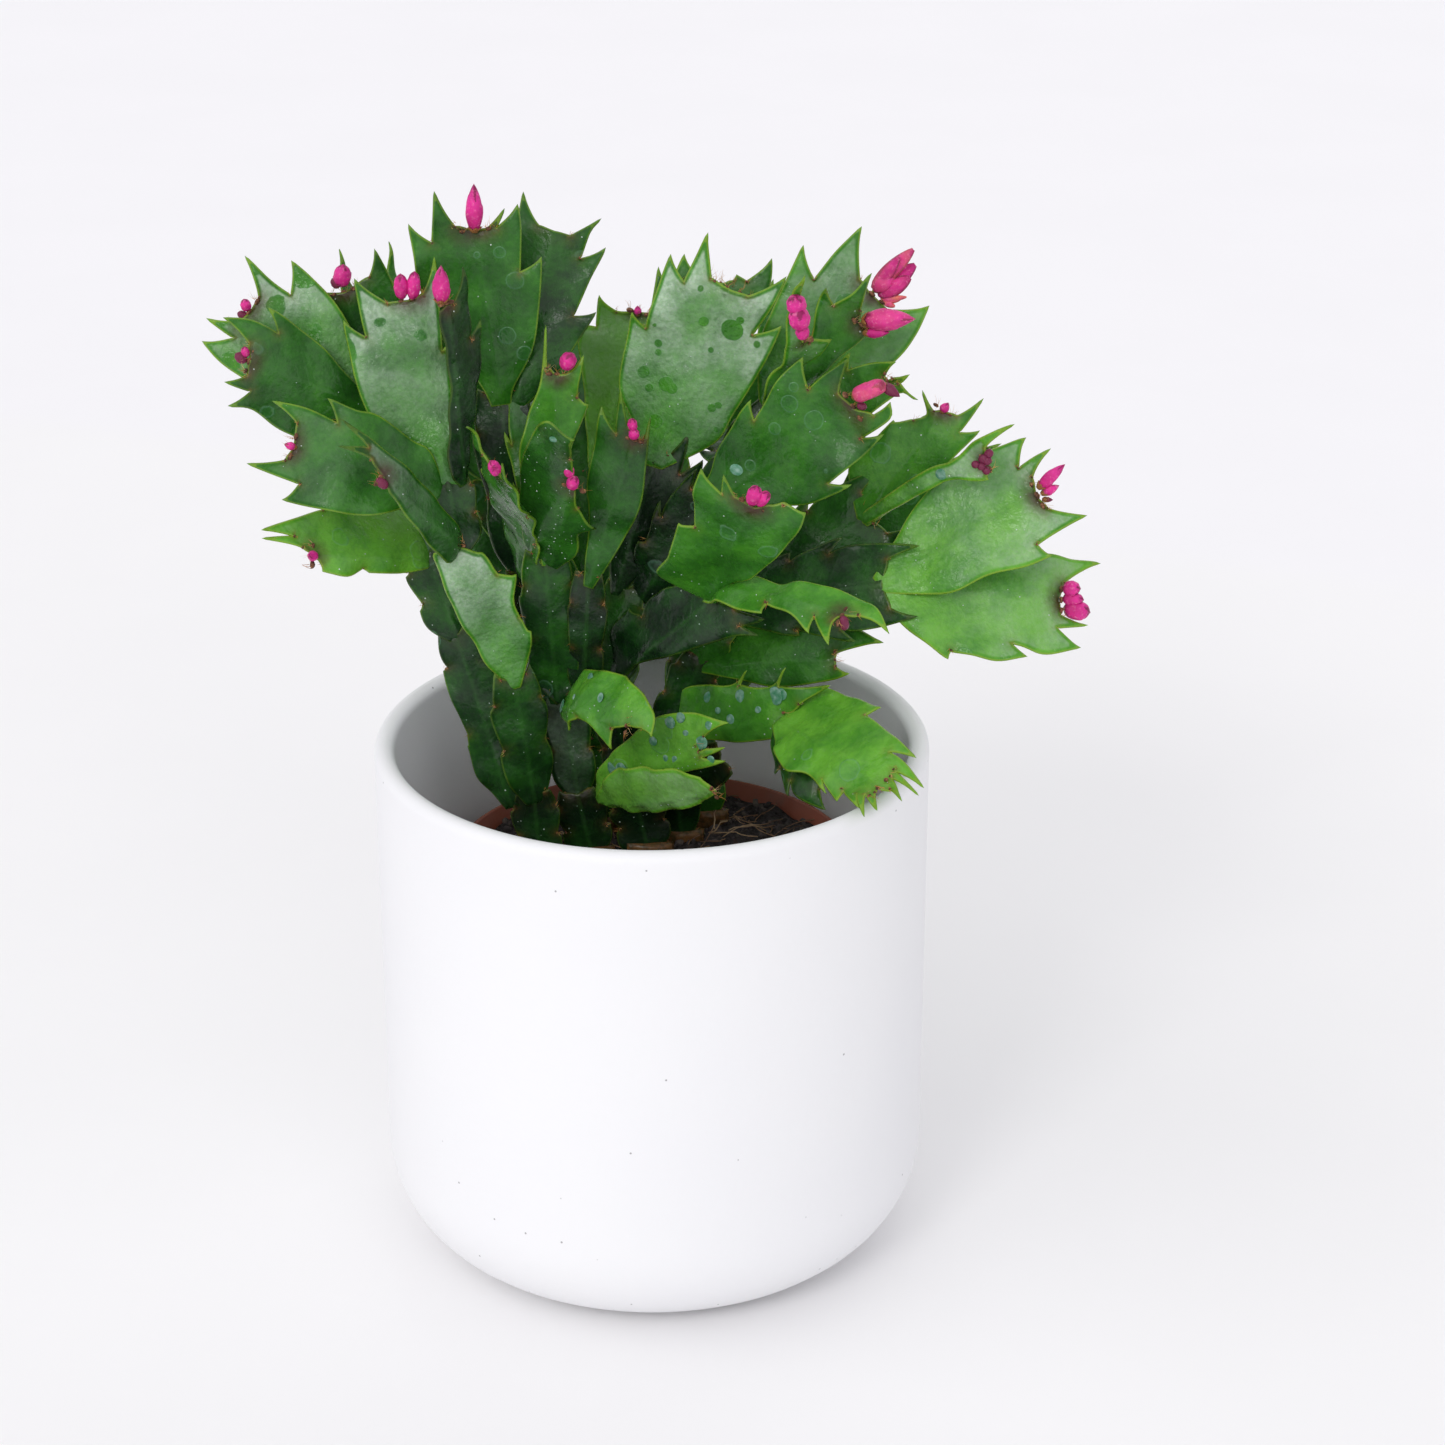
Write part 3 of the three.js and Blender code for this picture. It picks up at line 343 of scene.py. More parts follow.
def turnedTree(name, material, drained=False):
    tree, given = newTree(name, {"Path Radius": 0.07, "Sides": 192, "Corner Steps": 12, "Drain Holes": 6,
                                 "Drain Circle": 0.026, "Drain Radius": 0.004})
    curve = outputOf(tree, "GeometryNodeMeshToCurve", {0: given["Geometry"]})
    rounding = attributeOf(tree, "rounding")
    rounded = addNode(tree, "GeometryNodeFilletCurve", {
        "Curve": curve, "Count": given["Corner Steps"], "Radius": rounding, "Limit Radius": True}, mode="POLY")
    path = addNode(tree, "GeometryNodeCurvePrimitiveCircle", {
        "Resolution": given["Sides"], "Radius": given["Path Radius"]})
    swept = outputOf(tree, "GeometryNodeCurveToMesh", {
        "Curve": path.outputs[0], "Profile Curve": rounded.outputs[0]})
    swept = outputOf(tree, "GeometryNodeFlipFaces", {0: swept})
    if drained:
        welded = outputOf(tree, "GeometryNodeMergeByDistance", {"Geometry": swept, "Distance": weldGap})
        ring = outputOf(tree, "GeometryNodeMeshCircle", {
            "Vertices": given["Drain Holes"], "Radius": given["Drain Circle"]})
        drill = outputOf(tree, "GeometryNodeMeshCylinder", {
            "Vertices": 24, "Radius": given["Drain Radius"], "Depth": 0.03})
        drills = outputOf(tree, "GeometryNodeInstanceOnPoints", {"Points": ring, "Instance": drill})
        cut = addNode(tree, "GeometryNodeMeshBoolean", operation="DIFFERENCE")
        fill(tree, cut.inputs[0], welded)
        fill(tree, cut.inputs[1], drills)
        swept = cut.outputs[0]
    return endTree(tree, swept, material, weld=weldGap)


def turnedPot(name, profile, pathRadius, tree, **values):
    # the sweep turns the profile's y down
    points = [(radius - pathRadius, -height, 0) for radius, height, _ in profile]
    host = pieceFrom(name + "Profile", points, [], None)
    host.data.edges.add(len(points) - 1)
    host.data.edges.foreach_set("vertices", [v for i in range(len(points) - 1) for v in (i, i + 1)])
    addLayer(host.data, "rounding", "FLOAT", "value", [rounding * mm for *_, rounding in profile])
    return grow(name, tree, host, pathRadius=pathRadius * mm, **values)


def potPaint(tree, place):
    # matte white glaze with a few pinholes, denser on the rim and low on the wall; the inside of the wall is
    # painted paler than the glaze, a painted light that lifts its shade
    x, y, height = addNode(tree, "ShaderNodeSeparateXYZ", {0: place}).outputs
    squaredRadius = calc(tree, "ADD", calc(tree, "MULTIPLY", x, x), calc(tree, "MULTIPLY", y, y))
    paintedLightInside = remap(tree, squaredRadius, *((edge * mm) ** 2 for edge in coverPot["innerEdge"]))
    paintedLightInside = calc(tree, "MULTIPLY", paintedLightInside, remap(tree, height, *(rise * mm for rise in coverPot["innerRise"])))
    cells = addNode(tree, "ShaderNodeTexVoronoi", {"Vector": place, "Scale": 230})
    pick = outputOf(tree, "ShaderNodeSeparateColor", {0: cells.outputs["Color"]})
    low = remap(tree, height, 0.075, 0.02, 0, 0.2)
    rim = remap(tree, height, 0.13, 0.139, 0, 0.4)
    chosen = calc(tree, "GREATER_THAN", calc(tree, "ADD", calc(tree, "ADD", low, rim), pick), 0.96)
    pit = calc(tree, "MULTIPLY", remap(tree, cells.outputs["Distance"], 0.085, 0.04), chosen)
    cloud = noiseOf(tree, place, 14, 3)
    colour = mixed(tree, remap(tree, cloud, 0.35, 0.7, 0, 0.5), coverPot["white"], coverPot["cloudy"])
    # painted light: the inside of the wall is paler than the glaze outside, to lift its shade
    colour = mixed(tree, paintedLightInside, colour, coverPot["inner"])
    grain = calc(tree, "ADD", noiseOf(tree, place, 420, 3), calc(tree, "MULTIPLY", pit, -1.5))
    waves = bumped(tree, noiseOf(tree, place, 26, 2), 0.12, 0.002)
    return {"Base Color": mixed(tree, calc(tree, "MULTIPLY", pit, 0.75), colour, coverPot["speck"]),
            "Roughness": mottled(tree, place, 60, 3, 0.48, 0.6),
            "Specular IOR Level": 0.35, "Normal": bumped(tree, grain, 0.14, 0.0005, waves)}


def nurseryPaint(tree, place):
    dust = remap(tree, noiseOf(tree, place, 90, 5, 0.65), 0.5, 0.75, 0, 0.6)
    return {"Base Color": mixed(tree, dust, nurseryPot["terracotta"], nurseryPot["dust"]),
            "Roughness": mottled(tree, place, 200, 3, 0.35, 0.6),
            "Normal": bumped(tree, noiseOf(tree, place, 300, 3), 0.1, 0.0004)}


def makePots():
    cover = coverPot
    inside = cover["radius"] - cover["wall"]
    lip = cover["wall"] * cover["lipShare"]
    profile = [(0, 0, 0), (cover["radius"], 0, cover["footRadius"]), (cover["radius"], cover["height"], lip),
               (inside, cover["height"], lip), (inside, cover["floor"], cover["innerFootRadius"]),
               (0, cover["floor"], 0)]
    glaze = surfaceMaterial("matteWhiteGlaze", potPaint)
    shell = turnedPot("coverPot", profile, cover["radius"], turnedTree("coverPotTurning", glaze),
                      sides=cover["sides"])
    settle(shell, "ceramic", "cover_pot")

    inner = nurseryPot
    wall = inner["wall"]
    bottom = cover["floor"] + clearance
    rimFoot = inner["rimTop"] - inner["rimHeight"]
    soft = wall * inner["softShare"]
    profile = [(0, bottom, 0), (inner["footRadius"], bottom, 2 * wall),
               (inner["bodyRadius"] - wall, rimFoot - wall, soft), (inner["rimRadius"], rimFoot, soft),
               (inner["rimRadius"], inner["rimTop"], soft), (inner["rimRadius"] - wall, inner["rimTop"], soft),
               (inner["bodyRadius"] - 2 * wall, rimFoot, soft),
               (inner["footRadius"] - wall, bottom + wall, wall), (0, bottom + wall, 0)]
    plastic = surfaceMaterial("dustyTerracottaPlastic", nurseryPaint)
    tree = turnedTree("nurseryPotTurning", plastic, drained=True)
    shell = turnedPot("nurseryPot", profile, inner["rimRadius"], tree, sides=inner["sides"],
                      drainHoles=inner["drainHoles"], cornerSteps=inner["cornerSteps"],
                      drainCircle=inner["drainCircle"] * mm, drainRadius=inner["drainRadius"] * mm)
    settle(shell, "nursery_plastic", "nursery_pot")


makePots()
print("pots turned")

# Soil: a crumbly bed with a low mound, loose crumbs and root fibres
soil = dict(top=101.5, relief=1.6, mound=dict(x=-38, y=-14, height=4, spread=9), rings=44, sides=176,
            crumbleSizes=(9.0, 6.1, 4.3, 3.1, 2.2, 1.6), crumbleHeight=0.04, roughness=0.55,
            dark=(0.012, 0.007, 0.005), grey=(0.046, 0.04, 0.041), brown=(0.06, 0.032, 0.02), seed=5)
crumbs = dict(perSquareMetre=330000, smallest=0.0005, largest=0.0017, seed=11)
fibres = dict(perSquareMetre=42000, length=0.015, thickness=0.00017, steps=9, edge=4, seed=4,
              tan=(0.19, 0.105, 0.055))


def soilTop(x, y):
    mound = soil["mound"]
    waves = np.sin(x * 0.31 + 1.3) * np.cos(y * 0.27) + 0.6 * np.sin(x * 0.13 - y * 0.41)
    away = ((x - mound["x"]) ** 2 + (y - mound["y"]) ** 2) / mound["spread"] ** 2
    return soil["top"] + soil["relief"] * 0.5 * waves + mound["height"] * np.exp(-away)


def crumble(x, y, generator):
    # uneven ground: sine waves of many directions, each shorter and lower than the last
    total = np.zeros_like(x)
    for size in soil["crumbleSizes"]:
        for turn in generator.uniform(0, math.pi, 3):
            phase = generator.uniform(0, 2 * math.pi)
            total += size * np.sin((x * math.cos(turn) + y * math.sin(turn)) * 2 * math.pi / size + phase)
    return total * soil["crumbleHeight"] * soil["roughness"]


def soilPaint(tree, place):
    lumps = noiseOf(tree, place, 320, 5, 0.7)
    colour = rampOf(tree, lumps, [(0.32, soil["dark"]), (0.55, soil["grey"]), (0.72, soil["brown"])])
    return {"Base Color": colour, "Roughness": 0.95, "Specular IOR Level": 0.15,
            "Normal": bumped(tree, noiseOf(tree, place, 700, 5, 0.7), 0.9, 0.0012)}


def crumbPaint(tree, place):
    tone = noiseOf(tree, place, 260, 2)
    colour = rampOf(tree, tone, [(0.3, (0.026, 0.022, 0.023)), (0.55, (0.072, 0.06, 0.058)),
                                 (0.75, (0.13, 0.1, 0.08))])
    return {"Base Color": colour, "Roughness": 0.9, "Specular IOR Level": 0.2,
            "Normal": bumped(tree, noiseOf(tree, place, 1500, 4, 0.7), 0.8, 0.0006)}


def fibrePaint(tree, place):
    tone = noiseOf(tree, place, 70, 3)
    colour = rampOf(tree, tone, [(0.35, (0.05, 0.026, 0.015)), (0.5, fibres["tan"]), (0.68, (0.4, 0.27, 0.16))])
    return {"Base Color": colour, "Roughness": 0.8}


def scatteredPoints(tree, given):
    return outputOf(tree, "GeometryNodeDistributePointsOnFaces", {
        "Mesh": given["Geometry"], "Density": given["Density"], "Seed": given["Seed"]})


def crumbTree(material):
    tree, given = newTree("soilCrumbs", {"Density": 300000.0, "Smallest": 0.0005, "Largest": 0.002, "Seed": 1})
    seed = given["Seed"]
    size = calc(tree, "POWER", randomNumber(tree, 0, 1, seed, 1), 2.5)
    reach = calc(tree, "SUBTRACT", given["Largest"], given["Smallest"])
    size = calc(tree, "MULTIPLY_ADD", size, reach, given["Smallest"])
    shape = randomVector(tree, (0.6, 0.5, 0.35), (1.3, 1.0, 0.8), seed, 2)
    stone = outputOf(tree, "GeometryNodeMeshIcoSphere", {"Radius": 1.0, "Subdivisions": 1})
    real = copiesOn(tree, scatteredPoints(tree, given), stone,
                    randomVector(tree, (0, 0, 0), (6.28, 6.28, 6.28), seed, 3),
                    vectorMath(tree, "SCALE", shape, scale=size))
    return endTree(tree, shaken(tree, real, 0.0011, 900.0, 1.0), material)


def fibreTree(material):
    tree, given = newTree("soilFibres", {"Density": 40000.0, "Length": 0.015, "Thickness": 0.0002,
                                         "Steps": 9, "Seed": 1})
    seed = given["Seed"]
    half = calc(tree, "MULTIPLY", given["Length"], 0.5)
    start = outputOf(tree, "ShaderNodeCombineXYZ", {0: calc(tree, "MULTIPLY", half, -1)})
    end = outputOf(tree, "ShaderNodeCombineXYZ", {0: half})
    line = outputOf(tree, "GeometryNodeCurvePrimitiveLine", {"Start": start, "End": end})
    line = outputOf(tree, "GeometryNodeResampleCurve", {"Curve": line, "Count": given["Steps"]})
    real = copiesOn(tree, scatteredPoints(tree, given), line,
                    randomVector(tree, (-0.25, -0.28, 0), (0.25, 0.28, 6.28), seed, 5),
                    randomVector(tree, (0.35, 1, 1), (1.4, 1, 1), seed, 6))
    bent = shaken(tree, real, 0.012, 75.0, 2.0, (0.5, 0.5, 0.42), (1, 1, 0.6))
    section = outputOf(tree, "GeometryNodeCurvePrimitiveCircle", {
        "Resolution": 4, "Radius": given["Thickness"]})
    tubes = outputOf(tree, "GeometryNodeCurveToMesh", {
        "Curve": bent, "Profile Curve": section, "Fill Caps": True})
    return endTree(tree, tubes, material)


def makeSoil():
    generator = np.random.default_rng(soil["seed"])
    wall, footRadius = nurseryPot["wall"], nurseryPot["footRadius"]
    rimFoot = nurseryPot["rimTop"] - nurseryPot["rimHeight"]
    bottom = coverPot["floor"] + clearance + wall + clearance
    side = clearance * 1.2
    topRadius = nurseryPot["bodyRadius"] - 2 * wall - side
    lower = [(footRadius - 2 * wall - side, bottom), (footRadius - wall - side, bottom + wall),
             (topRadius, rimFoot)]
    radii = [radius for radius, _ in lower] + list(topRadius * np.linspace(1, 0, soil["rings"] + 1)[:-1])
    sides = soil["sides"]
    turns = np.arange(sides) * 2 * math.pi / sides
    x = np.outer(radii, np.cos(turns))
    y = np.outer(radii, np.sin(turns))
    edgeFade = np.clip((topRadius - np.hypot(x, y)) / 2, 0, 1)
    z = soilTop(x, y) + crumble(x, y, generator) * edgeFade
    for ring, (_, height) in enumerate(lower):
        z[ring] = height
    points = np.stack([x, y, z], axis=-1).reshape(-1, 3)
    centre = len(points)
    points = np.vstack([points, [(0, 0, soilTop(np.float64(0), np.float64(0)))], [(0, 0, bottom)]])
    faces = ringFaces(sides, 0, len(radii) - 1)
    faces += fanFaces(sides, centre - sides, centre) + fanFaces(sides, 0, centre + 1, under=True)
    bed = pieceFrom("soilBed", points, faces, surfaceMaterial("darkPeat", soilPaint))
    settle(bed, "peat", "soil")

    topFaces = [f for f in faces if min(f) >= len(lower) * sides and centre + 1 not in f]
    host = pieceFrom("crumbHost", points, topFaces, None)
    grown = grow("soilCrumbs", crumbTree(surfaceMaterial("peatCrumb", crumbPaint)), host,
                 density=float(crumbs["perSquareMetre"]), smallest=crumbs["smallest"],
                 largest=crumbs["largest"], seed=crumbs["seed"])
    settle(grown, "peat")
    innerFaces = [f for f in topFaces if np.hypot(*points[f[0]][:2]) < topRadius - fibres["edge"]]
    host = pieceFrom("fibreHost", points, innerFaces, None)
    grown = grow("soilFibres", fibreTree(surfaceMaterial("rootFibre", fibrePaint)), host,
                 density=float(fibres["perSquareMetre"]), length=fibres["length"],
                 thickness=fibres["thickness"], steps=fibres["steps"], seed=fibres["seed"])
    settle(grown, "peat")
    print("soil made:", len(bed.data.polygons), "bed faces,", len(grown.data.polygons), "fibre faces")


makeSoil()

# The plant is laid out as it is seen from the front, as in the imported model: x is to the right of the
# pot's axis and h is up from the middle of its rim, across the line of sight, and y is the true depth.
# A pad: name, what it grows from, its end (x, h, y), width, and how it is bent
broad, old = dict(shape="broad"), dict(shape="old")
stems = {
    "stem_left": dict(foot=(-28.6, -1), width=11, pads=[
        ("a1", "foot", (-30, -14.5, 0), 11.5, old),
        ("a2", "a1", (-35, 14.5, -3), 13, dict(old, roll=15)),
        ("a3", "a2", (-50, 48.5, -8), 17, dict(cup=0.1, curl=15, roll=-10)),
        ("a4", "a3", (-69.5, 66, -22), 18, dict(roll=20, curl=-25, cup=-0.1)),
        ("a5", "a3", (-52, 66, 2), 12, dict(old, curl=10)),
        ("a6", "a5", (-61, 112, 13), 27, dict(cup=-0.05)),
        ("a7", "a5", (-52.5, 111, -4), 12, dict(roll=35, slip=3)),
        ("a8", "a5", (-92.3, 73.2, -8), 23, dict(curl=-20, cup=0.1, slip=-3)),
        ("a9", "a5", (-72, 84, 18), 15, dict(old, slip=-2)),
        ("a10", "a9", (-103.2, 95, 8), 24, dict(curl=-20)),
        ("a11", "a9", (-103.2, 107.7, 23), 30, dict(cup=-0.05)),
        ("a12", "a1", (-50, 27, 6), 12.5, dict(old, slip=-6, roll=-15)),
        ("a13", "a12", (-57, 47, 12), 13, old),
        ("a14", "a13", (-86.8, 45.3, -8), 21, dict(cup=-0.3, curl=-10)),
        ("a15", "a13", (-66, 74, 28), 18, old),
        ("a16", "a15", (-78.5, 113.5, 30), 24, {}),
        ("a17", "a15", (-71, 113.5, 44), 16, dict(roll=35)),
    ]),
    "stem_mid_left": dict(foot=(-15.6, 6), width=12.5, pads=[
        ("b1", "foot", (-19, -14, 7), 12.5, old),
        ("b2", "b1", (-23, 11, 6), 11.5, old),
        ("b3", "b2", (-33.5, 42, 13), 11, dict(old, roll=20)),
        ("b4", "b3", (-40, 68, -12), 16, dict(roll=-60, curl=20)),
        ("b5", "b3", (-38.5, 86.5, 18), 15, old),
        ("b6", "b5", (-45, 129.3, 22), 30, dict(cup=0.06)),
        ("b7", "b5", (-24.3, 129, 34), 26, dict(slip=3)),
        ("b8", "b2", (-27, 46, 1), 13, dict(old, slip=-2)),
        ("b9", "b8", (-30, 88, 20), 13, dict(curl=-10)),
        ("b10", "b8", (-24, 93, 5), 18, dict(roll=10)),
        ("b11", "b8", (-19.6, 63, -14), 20, dict(cup=-0.2)),
        ("b12", "b2", (-16, 40, -1), 9, dict(old, slip=4)),
        ("b13", "b12", (-4, 76, -2), 14, {}),
        ("b16", "b2", (-5.5, 2, -26), 16, dict(curl=-40, cup=-0.2, slip=-2)),
        ("b17", "b1", (13, -4, -20), 15, dict(curl=-20, slip=4)),
        ("b18", "b1", (17, -14.5, -31), 12, dict(roll=30, curl=-20, slip=4)),
    ]),
    "stem_middle": dict(foot=(-1.2, 8.5), width=14, pads=[
        ("c1", "foot", (-4.5, -14, 8.5), 14, old),
        ("c2", "c1", (-11.5, 15, 12), 12, old),
        ("c3", "c2", (16.5, 35.3, -8), 14, dict(roll=-20)),
        ("c4", "c3", (25.8, 59.3, -28), 25, dict(curl=-15)),
        ("c5", "c3", (49.5, 29.3, -34), 18, dict(roll=-30, curl=-45, slip=-2)),
        ("c6", "c2", (-7, 38, 16), 12, old),
        ("c7", "c6", (1, 71, 12), 14, dict(slip=-2)),
        ("c8", "c7", (19.8, 115, 14), 31, {}),
        ("c9", "c7", (18, 116, 26), 27, dict(roll=12)),
        ("c10", "c6", (14, 59, 2), 16, dict(slip=4)),
        ("c11", "c10", (52.4, 84, -10), 30, dict(cup=0.2)),
        ("c12", "c10", (31, 82, 18), 12, old),
        ("c13", "c12", (56.5, 112.6, 28), 30, {}),
        ("c14", "c12", (53.8, 104.5, 11), 19, dict(cup=0.1, roll=25)),
        ("c15", "c12", (38.8, 101, -6), 14, dict(roll=30)),
        ("c16", "c12", (60.6, 90, -2), 16, {}),
        ("c17", "c1", (18, -6, -10), 12, dict(old, slip=4)),
    ]),
    "stem_right": dict(foot=(7.6, 16), width=12, pads=[
        ("d1", "foot", (3, 2, 12), 12, old),
        ("d2", "d1", (13, 20, 14), 12, old),
        ("d3", "d2", (47.5, 19, -2), 17, {}),
        ("d4", "d1", (34.5, 4, -8), 15, {}),
        ("d5", "d4", (58, -14.3, -48), 26, dict(curl=-12, cup=-0.02, roll=-12)),
        ("d6", "d4", (46, -9, -26), 20, dict(curl=-15, cup=-0.1)),
        ("d7", "d2", (19, 36, 12), 12, old),
        ("d8", "d7", (60, 38, -4), 20, {}),
        ("d9", "d7", (56, 56, 14), 20, {}),
        ("d10", "d8", (98.8, 61.3, 0), 28, dict(roll=-14)),
        ("d11", "d8", (105, 33.8, 0), 25, dict(curl=-20, roll=-14)),
        ("d12", "d9", (85.5, 69.3, -6), 17, dict(roll=10)),
        ("d13", "d9", (74.3, 83, 20), 20, {}),
    ]),
    "stem_back_left": dict(foot=(-12, 24), width=12, pads=[
        ("e1", "foot", (-14, 0, 27), 12, old),
        ("e2", "e1", (-20, 32, 36), 12, old),
        ("e3", "e2", (-42, 66, 46), 15, old),
        ("e4", "e2", (-14, 66, 52), 14, old),
        ("e5", "e3", (-54, 104, 52), 28, broad),
        ("e6", "e3", (-40, 104, 78), 26, dict(broad, roll=25)),
        ("e7", "e4", (-28, 96, 76), 24, dict(broad, curl=-20)),
        ("e8", "e2", (-50, 50, 54), 16, {}),
        ("e9", "e8", (-74, 78, 64), 26, broad),
        ("e10", "e8", (-58, 66, 86), 24, dict(curl=20, roll=20)),
        ("e11", "e1", (-12, 24, 56), 15, {}),
        ("e13", "e4", (-3, 108.2, 46), 20, {}),
        ("e12", "e11", (-8, 48, 84), 24, broad),
    ]),
    "stem_back_right": dict(foot=(14, 28), width=12, pads=[
        ("f1", "foot", (8, 6, 32), 12, old),
        ("f2", "f1", (10, 38, 40), 12, old),
        ("f3", "f2", (28, 72, 52), 14, old),
        ("f4", "f2", (2, 74, 56), 14, old),
        ("f5", "f3", (44, 108, 60), 28, broad),
        ("f6", "f3", (24, 86, 80), 26, dict(broad, roll=-15)),
        ("f7", "f4", (6, 98, 76), 24, dict(broad, roll=15)),
        ("f8", "f2", (48, 44, 60), 16, {}),
        ("f9", "f8", (84, 62, 64), 26, broad),
        ("f10", "f8", (70, 70, 80), 24, broad),
        ("f11", "f1", (34, 42, 66), 18, dict(curl=-20)),
    ]),
}

# One side of a pad's outline from its base to its end as (across, along), with across 1 at half the width
# and along 1 at the end. The points marked tip are the teeth's.
tip = True
outlines = dict(
    normal=[(0.16, 0), (0.56, 0.1), (0.82, 0.26), (1.04, 0.44, tip), (0.84, 0.43), (1.02, 0.56),
            (1.24, 0.76, tip), (0.92, 0.68), (1.05, 0.83), (0.84, 1.2, tip), (0.6, 1)],
    broad=[(0.16, 0), (0.64, 0.08), (0.94, 0.22), (1.1, 0.4, tip), (0.86, 0.38), (1.04, 0.48),
           (1.2, 0.68, tip), (0.9, 0.6), (1.02, 0.74), (1.12, 0.98, tip), (0.8, 0.86), (0.7, 1.2, tip),
           (0.5, 0.98)],
    old=[(0.3, 0), (0.9, 0.2), (0.98, 0.4, tip), (0.86, 0.46), (1.02, 0.64), (1.06, 0.76, tip), (0.9, 0.8),
         (0.7, 1.02, tip), (0.5, 1)],
)

